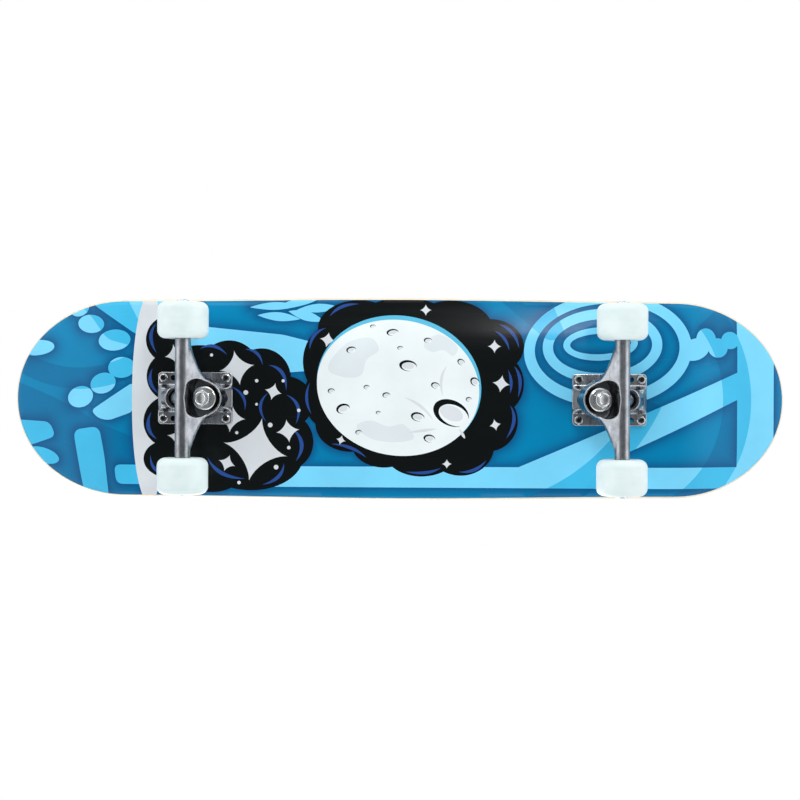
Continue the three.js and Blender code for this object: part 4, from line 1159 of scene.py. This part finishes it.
def lock_nut(name, flats, height, bore, collar):
    """A hexagon nut with a rounded collar; its nylon insert is a piece of its own."""
    body = height * 0.72
    corner = flats / 2 * 0.97
    return turned(name, [
        (bore, 0.5), (bore + 0.5, 0), (corner, 0), (hexagon(flats), chamfered(flats, corner, 0, -1)),
        (hexagon(flats), chamfered(flats, corner, body, 1)), (corner, body), (collar + 0.3, body),
        (collar, body + 0.3), (collar, height - 0.9), (collar - 0.3, height - 0.25),
        (collar - 1.0, height), (collar - 1.3, height - 0.15), (collar - 1.3, height - 0.9),
        (bore, height - 0.9), (bore, 0.5),
    ], SIDES)


def nylon_ring(name, height, bore, collar):
    outer = collar - 1.35
    return turned(name, [
        (bore, height - 0.85), (outer, height - 0.85), (outer, height - 0.3), (outer - 0.2, height - 0.15),
        (bore + 0.3, height - 0.15), (bore, height - 0.4), (bore, height - 0.85),
    ], SIDES)


def fit_lock_nut(kind, which, sizes, place, body):
    """Puts a lock nut and its nylon ring in place. The sizes are flats, height, bore and collar."""
    nut = moved(lock_nut(f"{kind}_lock_nut_{which}", *sizes), place)
    finish_piece(nut, plated, body, "plated_steel", f"{kind}_nut_{which}")
    ring = moved(nylon_ring(f"{kind}_nut_insert_{which}", *sizes[1:]), place)
    finish_piece(ring, nylon, body, "wheel_urethane")


def barrel(name, bore, rings):
    """A bushing from rings of (radius, height) with its bore closed through them."""
    low, high = rings[0][1], rings[-1][1]
    return turned(name, [(bore, low), *rings, (bore, high), (bore, low)], SIDES)


plated = metal("plated_steel_finish", (0.46, 0.48, 0.48, 1), (0.66, 0.68, 0.68, 1), BRIGHT_EDGE,
               (0.14, 0.24), 700.0, 2600.0, 0.04)
nylon = rubber_material("nylon", linear(196, 200, 204), linear(232, 234, 236), 0.35)
head = hexagon(HEAD_FLATS)
kingpin_rings = [
    (0, HEAD_TOP), (6.4, HEAD_TOP), (head, HEAD_TOP + 0.4 + (head - 6.9) * 0.5), (head, -26.4),
    (7.0, -26.4), (KINGPIN_RADIUS, -26.3), (KINGPIN_RADIUS, 5.0),
    *thread_rings(KINGPIN_RADIUS, FINE_PITCH, 5.2, 25.0), (4.2, 25.2), (3.9, 25.7), (3.2, 25.7),
    (2.6, 25.5), (0, 25.5),
]
board_bushing = [
    (10.6, -18.6), (11.3, -18.4), (11.8, -17.6),
    *((11.9 + 0.1 * math.sin(t), -17 + 10.4 * t / math.pi) for t in np.linspace(0, math.pi, 9)),
    (11.8, -6.1), (11.3, -5.3), (10.6, -5.1),
]
road_bushing = [
    (11.4, 4.1), (12.0, 4.3), (12.4, 5.0), (12.4, 6.4), (12.2, 8.5), (11.7, 11.0), (11.0, 13.4),
    (10.7, 14.2), (10.0, 14.6),
]
board_washer = [
    (WASHER_BORE, -20.2), (9.6, -20.2), (10.6, -20.0), (11.3, -19.4), (11.9, -18.7), (11.2, -18.7),
    (10.4, -19.0), (9.4, -19.1), (WASHER_BORE, -19.1), (WASHER_BORE, -20.2),
]
road_washer = [
    (WASHER_BORE, 15.1), (9.4, 15.1), (10.4, 15.0), (11.2, 14.7), (11.9, 14.75), (11.8, 15.3),
    (11.0, 16.0), (10.0, 16.2), (5.3, 16.2), (WASHER_BORE, 16.0), (WASHER_BORE, 15.1),
]
NUT_SEAT = 16.3
KINGPIN_NUT = (14.3, 8, 4.9, 7.0)
for end, place in TRUCKS.items():
    at = place @ KINGPIN
    pin = moved(turned(f"kingpin_bolt_{end}", kingpin_rings, SIDES), at)
    finish_piece(pin, plated, "board", "plated_steel", f"kingpin_{end}")
    fit_lock_nut("kingpin", end, KINGPIN_NUT, at @ Matrix.Translation((0, 0, NUT_SEAT)), "board")
    for side, profile in (("board", board_washer), ("road", road_washer)):
        washer = moved(turned(f"cup_washer_{side}_{end}", profile, SIDES), at)
        finish_piece(washer, plated, "board", "plated_steel", f"washer_{side}_{end}")
    for side, rings, bodies in (
        ("board", board_bushing, ("board", f"hanger_{end}")),
        ("road", road_bushing, (f"hanger_{end}", "board")),
    ):
        bush = moved(barrel(f"bushing_{side}_{end}_urethane", WASHER_BORE, rings), at)
        bush.data.materials.append(black_urethane)
        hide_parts(f"bushing_{side}_{end}")
        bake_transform(bush)

# ---------- Axles and wheel nuts ----------
# A ground steel rod is cast into each hanger. Its ends are threaded, and a lock nut on each one holds
# a wheel on.

AXLE_RADIUS = 4.0
AXLE_THREAD = 86.0
AXLE_NUT = (12.7, 6.8, 4.1, 6.1)
ACROSS = Matrix.Rotation(-math.pi / 2, 4, "X")
ground = metal("ground_steel_finish", (0.44, 0.45, 0.46, 1), (0.62, 0.63, 0.64, 1), BRIGHT_EDGE,
               (0.18, 0.3), 900.0, 2400.0, 0.04)
half_axle = [
    (AXLE_RADIUS, 0), (AXLE_RADIUS, AXLE_THREAD),
    *thread_rings(AXLE_RADIUS, FINE_PITCH, AXLE_THREAD + 0.2, 96.3), (3.4, 96.5), (3.1, 97.0), (0, 97.0),
]


def both_ways(half):
    """A profile from its outer half, which starts at the middle, and the same half mirrored."""
    return half + [(radius, -y) for radius, y in reversed(half)][1:]


def own_side(end, sign):
    """The rider's side along the truck's own Y, because the front truck is turned half round."""
    return sign if end == "rear" else -sign


axle_rings = [(radius, -height) for radius, height in reversed(half_axle)] + half_axle[1:]
WHEEL_Y = 76.5
NUT_Y = 89.5
for end, place in TRUCKS.items():
    at = place @ Matrix.Translation(AXLE)
    axle = moved(turned(f"axle_rod_{end}", axle_rings, SIDES), at @ ACROSS)
    finish_piece(axle, ground, f"hanger_{end}", "ground_steel", f"axle_{end}")
    for side, sign in (("left", 1), ("right", -1)):
        local = own_side(end, sign)
        outward = ACROSS if local > 0 else ACROSS.inverted()
        nut_place = at @ Matrix.Translation((0, local * NUT_Y, 0)) @ outward
        fit_lock_nut("axle", f"{end}_{side}", AXLE_NUT, nut_place, f"hanger_{end}")

# ---------- Wheels and bearings ----------
# White urethane is poured round a mould's core, so each wheel has a fine seam round its tread and a
# dished face. Two shielded bearings sit in it, with a spacer between them and a washer outside each.

TREAD_RADIUS = 25.0
WHEEL_HALF = 18.0
WHEEL_CORNER = 8.0
CORE_RADIUS = 9.0
BEARING_SEAT = 11.0
BEARING_Y = 8.5
SLEEVE_BORE = 4.12
SEAM = 0.02
corner = [
    (TREAD_RADIUS - WHEEL_CORNER * (1 - math.sin(a)), WHEEL_HALF - WHEEL_CORNER * (1 - math.cos(a)))
    for a in np.linspace(0, math.pi / 2, 18)
]
wheel_half = [
    (CORE_RADIUS, 0), (CORE_RADIUS, 5.0), (BEARING_SEAT, 5.0), (BEARING_SEAT, 11.6), (11.3, 12.1),
    (12.2, 12.5), (12.9, 13.2), (14.2, 17.0), (14.5, 17.6), (15.0, 17.95), (15.6, WHEEL_HALF),
    *corner[1:], (TREAD_RADIUS, 5.0), (TREAD_RADIUS, 0.35), (TREAD_RADIUS - SEAM, 0.1),
    (TREAD_RADIUS - SEAM, 0),
]
race_half = [
    (9.4, 0), (9.4, 2.7), (6.6, 2.75), (6.5, 2.9), (6.6, 3.05), (8.7, 3.1), (9.2, 2.95), (9.5, 3.1),
    (9.6, 3.4), (9.7, 3.44), (10.6, 3.44), (10.94, 3.1), (10.94, 0),
]
sleeve_half = [
    (5.3, 0), (5.3, 5.0), (5.8, 5.05), (6.0, 5.25), (6.0, 11.75), (5.8, 11.98), (5.8, 12.05),
    (6.0, 12.15), (6.0, 12.75), (5.85, 12.9), (4.3, 12.9), (SLEEVE_BORE, 12.7), (SLEEVE_BORE, 0),
]


def urethane_material():
    made, tree, shader = new_material(
        "wheel_urethane_white", subsurface_weight=0.25, subsurface_scale=0.004, specular_ior_level=0.3,
        subsurface_radius=(0.9, 1.0, 1.0))
    cloud = noise(tree, stretched_position(tree), 60.0, 5.0)
    tone = mixed(tree, spread(tree, cloud, 0.3, 0.7), linear(215, 230, 230), linear(226, 238, 238))
    surfaced(tree, shader, tone, spread(tree, cloud, 0.3, 0.7, 0.34, 0.46))
    lines = noise(tree, stretched_position(tree, (1, 12, 1)), 130.0, 3.0)
    bumped(tree, shader, lines, 0.06, 0.0002)
    return made


white_urethane = urethane_material()
for end, place in TRUCKS.items():
    for side, sign in (("left", 1), ("right", -1)):
        local = own_side(end, sign)
        name = f"{end}_{side}"
        at = place @ Matrix.Translation(AXLE + Vector((0, local * WHEEL_Y, 0))) @ ACROSS
        tyre = moved(turned(f"urethane_wheel_{name}", both_ways(wheel_half), 128), at)
        finish_piece(tyre, white_urethane, f"wheel_{name}", "wheel_urethane", f"wheel_{name}")
        for row, step in (("inner", -local * BEARING_Y), ("outer", local * BEARING_Y)):
            race = turned(f"bearing_shell_{name}_{row}", both_ways(race_half), SIDES)
            moved(race, at @ Matrix.Translation((0, 0, step)))
            finish_piece(race, ground, f"wheel_{name}", "ground_steel", f"bearing_race_{name}_{row}")
        sleeve = moved(turned(f"spacer_stack_{name}", both_ways(sleeve_half), SIDES), at)
        finish_piece(sleeve, ground, f"hanger_{end}", "ground_steel", f"bearing_sleeve_{name}")

# ---------- Mounting bolts ----------
# Eight black steel bolts with cross recesses in their countersunk heads go down through the deck and
# the baseplates. A small plated lock nut with a nylon ring holds each one.

BOLT_RADIUS = 2.4
BOLT_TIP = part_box("bolt_front_inner_left")[0].z / MM
NUT_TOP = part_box("nut_front_inner_left")[1].z / MM
NUT_HEIGHT = 5.0
BOLT_PITCH = 0.8
SLOT_DEPTH = -2.2
SLOT_SIZE = (3.4, 0.9, 1, 1)
places = [
    f"{end}_{row}_{side}"
    for end in TRUCKS for row in ("inner", "outer") for side in ("left", "right")
]


def pattern_tree():
    """Sets a copy of a fastener at each corner of both trucks' hole patterns, turned at random."""
    tree = bpy.data.node_groups.new("bolt_pattern", "GeometryNodeTree")
    add = tree.interface.new_socket
    add("Geometry", in_out="INPUT", socket_type="NodeSocketGeometry")
    for name in ("First Truck", "Truck Spacing", "Pattern Length", "Pattern Width"):
        add(name, in_out="INPUT", socket_type="NodeSocketFloat")
    add("Seed", in_out="INPUT", socket_type="NodeSocketInt")
    add("Material", in_out="INPUT", socket_type="NodeSocketMaterial")
    add("Geometry", in_out="OUTPUT", socket_type="NodeSocketGeometry")
    given = add_node(tree, "NodeGroupInput").outputs

    def step(kind, inputs, **settings):
        return add_node(tree, kind, inputs, **settings).outputs[0]

    line = step("GeometryNodeMeshLine", {
        "Count": 2,
        "Start Location": step("ShaderNodeCombineXYZ", {"X": given["First Truck"]}),
        "Offset": step("ShaderNodeCombineXYZ", {"X": given["Truck Spacing"]}),
    })
    grid = step("GeometryNodeMeshGrid", {
        "Size X": given["Pattern Length"], "Size Y": given["Pattern Width"],
        "Vertices X": 2, "Vertices Y": 2,
    })
    pair = step("GeometryNodeInstanceOnPoints", {"Points": line, "Instance": grid})
    corners = step("GeometryNodeRealizeInstances", {"Geometry": pair})
    turn = add_node(tree, "FunctionNodeRandomValue", {2: 0.0, 3: 2 * math.pi, 8: given["Seed"]},
                    data_type="FLOAT").outputs[1]
    copies = step("GeometryNodeInstanceOnPoints", {
        "Points": corners, "Instance": given["Geometry"],
        "Rotation": step("ShaderNodeCombineXYZ", {"Z": turn}),
    })
    real = step("GeometryNodeRealizeInstances", {"Geometry": copies})
    finished = step("GeometryNodeSetMaterial", {"Geometry": real, "Material": given["Material"]})
    add_node(tree, "NodeGroupOutput", {"Geometry": finished})
    return tree


bolt_pattern = pattern_tree()


def patterned(piece, material, seed):
    values = {
        "First Truck": TRUCK_MIDDLE["rear"] * MM,
        "Truck Spacing": (TRUCK_MIDDLE["front"] - TRUCK_MIDDLE["rear"]) * MM,
        "Pattern Length": PATTERN_LENGTH * MM,
        "Pattern Width": PATTERN_WIDTH * MM,
        "Seed": seed,
        "Material": material,
    }
    spread_out = piece.modifiers.new("pattern", "NODES")
    spread_out.node_group = bolt_pattern
    for item in bolt_pattern.interface.items_tree:
        if item.in_out == "INPUT" and item.name in values:
            spread_out[item.identifier] = values[item.name]
    return creased(applied(piece))


black_steel = metal("black_oxide", (0.012, 0.012, 0.014, 1), (0.03, 0.031, 0.034, 1),
                    (0.1, 0.1, 0.11, 1), (0.32, 0.48), 900.0, 2600.0, 0.08)
bolt = turned("mounting_bolts", [
    (0, BOLT_TIP + 0.15), (1.4, BOLT_TIP + 0.15), (1.8, BOLT_TIP), (2.05, BOLT_TIP + 0.3),
    *thread_rings(BOLT_RADIUS, BOLT_PITCH, BOLT_TIP + 0.4, BOLT_TIP + 9), (BOLT_RADIUS, BOLT_TIP + 9.4),
    (BOLT_RADIUS, GRIP_TOP - 3.2), (HEAD_RADIUS - 0.15, GRIP_TOP - 0.6),
    (HEAD_RADIUS - 0.1, GRIP_TOP - 0.2), (HEAD_RADIUS - 0.4, GRIP_TOP), (0, GRIP_TOP),
], SIDES)
for turn in (0, math.pi / 2):
    slot = turned("slot", [(0, SLOT_DEPTH), (0.55, SLOT_DEPTH), (0.85, 0.3), (0, 0.3)], 4)
    moved(slot, Matrix.Translation((0, 0, GRIP_TOP)) @ Matrix.Rotation(turn, 4, "Z")
          @ Matrix.Diagonal(SLOT_SIZE) @ Matrix.Rotation(math.pi / 4, 4, "Z"))
    bored(bolt, [slot])
bolts = patterned(bolt, black_steel, 3)
finish_piece(bolts, black_steel, "board", "black_steel", *(f"bolt_{name}" for name in places))

flip = Matrix.Translation((0, 0, NUT_TOP)) @ Matrix.Rotation(math.pi, 4, "X")
nuts = moved(lock_nut("mounting_nuts", 8.0, NUT_HEIGHT, BOLT_RADIUS + 0.15, 3.9), flip)
nuts = patterned(nuts, plated, 8)
finish_piece(nuts, plated, "board", "plated_steel", *(f"nut_{name}" for name in places))
inserts = moved(nylon_ring("mounting_nut_inserts", NUT_HEIGHT, BOLT_RADIUS + 0.1, 4.6), flip)
finish_piece(patterned(inserts, nylon, 8), nylon, "board", "wheel_urethane")

# ---------- Camera, floor and light ----------
# The board is seen from straight below, in a tent of soft light with three softboxes. The floor is
# plain pale paper, which shows only from above, so that it never hides the board.

CAMERA_DISTANCE = 1500.0
VIEW_WIDTH = 814.4
CAMERA_ROLL = math.radians(0.25)

camera = in_scene("camera", bpy.data.cameras.new("camera"))
bpy.context.scene.camera = camera
camera.data.angle = 2 * math.atan(VIEW_WIDTH / 2 / CAMERA_DISTANCE)
camera.data.clip_start = 0.01
look = Matrix(((-1, 0, 0), (0, 1, 0), (0, 0, -1))).to_4x4()
camera.matrix_world = (
    Matrix.Translation(Vector((0, -1.0, UNDERSIDE - CAMERA_DISTANCE)) * MM)
    @ look
    @ Matrix.Rotation(CAMERA_ROLL, 4, "Z")
)

FLOOR = 3000
floor_corners = [(-FLOOR, -FLOOR, 0), (FLOOR, -FLOOR, 0), (FLOOR, FLOOR, 0), (-FLOOR, FLOOR, 0)]
floor = new_object("floor", floor_corners, [(0, 1, 2, 3)])
paper, paper_tree, paper_shader = new_material(
    "pale_paper", base_color=(0.86, 0.87, 0.88, 1), roughness=0.7)
output = paper_tree.nodes["Material Output"]
path = add_node(paper_tree, "ShaderNodeLightPath")
behind = add_node(paper_tree, "ShaderNodeNewGeometry").outputs["Backfacing"]
seen = reckoned(paper_tree, "SUBTRACT", path.outputs["Is Camera Ray"], behind)
clear = add_node(paper_tree, "ShaderNodeBsdfTransparent")
blend = add_node(paper_tree, "ShaderNodeMixShader", {0: seen, 1: clear.outputs[0]})
paper_tree.links.new(paper_shader.outputs[0], blend.inputs[2])
paper_tree.links.new(blend.outputs[0], output.inputs["Surface"])
floor.data.materials.append(paper)

world = bpy.data.worlds.new("studio")
bpy.context.scene.world = world
world.use_nodes = True
sky = world.node_tree
direction = add_node(sky, "ShaderNodeTexCoord").outputs["Generated"]
up = add_node(sky, "ShaderNodeSeparateXYZ", {"Vector": direction}).outputs["Z"]
tent = add_node(sky, "ShaderNodeValToRGB", {"Fac": spread(sky, up, -1.0, 1.0)})
stops = tent.color_ramp.elements
stops[0].position, stops[0].color = 0.0, (0.2, 0.21, 0.22, 1)
stops[1].position, stops[1].color = 1.0, (0.8, 0.82, 0.84, 1)
for position, level in (
    (0.08, 0.24), (0.15, 0.75), (0.23, 1.4), (0.32, 1.75), (0.4, 1.6), (0.5, 1.15), (0.62, 0.7),
):
    stops.new(position).color = (level, level, level * 1.01, 1)
lit = add_node(sky, "ShaderNodeBackground", {"Color": tent.outputs["Color"], "Strength": 1.06})
white = add_node(sky, "ShaderNodeBackground", {"Color": (1, 1, 1, 1), "Strength": 1.0})
choice = add_node(sky, "ShaderNodeMixShader", {
    0: add_node(sky, "ShaderNodeLightPath").outputs["Is Camera Ray"], 1: lit.outputs[0], 2: white.outputs[0]})
sky.links.new(choice.outputs[0], sky.nodes["World Output"].inputs["Surface"])
bpy.context.scene.view_settings.view_transform = "Standard"


def softbox(name, place, target, size, power):
    lamp = bpy.data.lights.new(name, "AREA")
    lamp.shape = "RECTANGLE"
    lamp.size, lamp.size_y = size
    lamp.energy = power
    made = in_scene(name, lamp)
    made.location = place
    made.rotation_euler = (Vector(target) - Vector(place)).to_track_quat("-Z", "Y").to_euler()
    made.visible_camera = False


softbox("side_box", (0.5, 1.5, -0.9), (0, 0, 0.08), (0.6, 1.2), 4)
softbox("glare_box", (-0.325, 0.66, -1.3), (-0.16, 0.08, 0.08), (0.16, 0.36), 3.4)
softbox("top_box", (0.5, -0.9, 1.7), (0, 0, 0.1), (1.4, 1.4), 24)
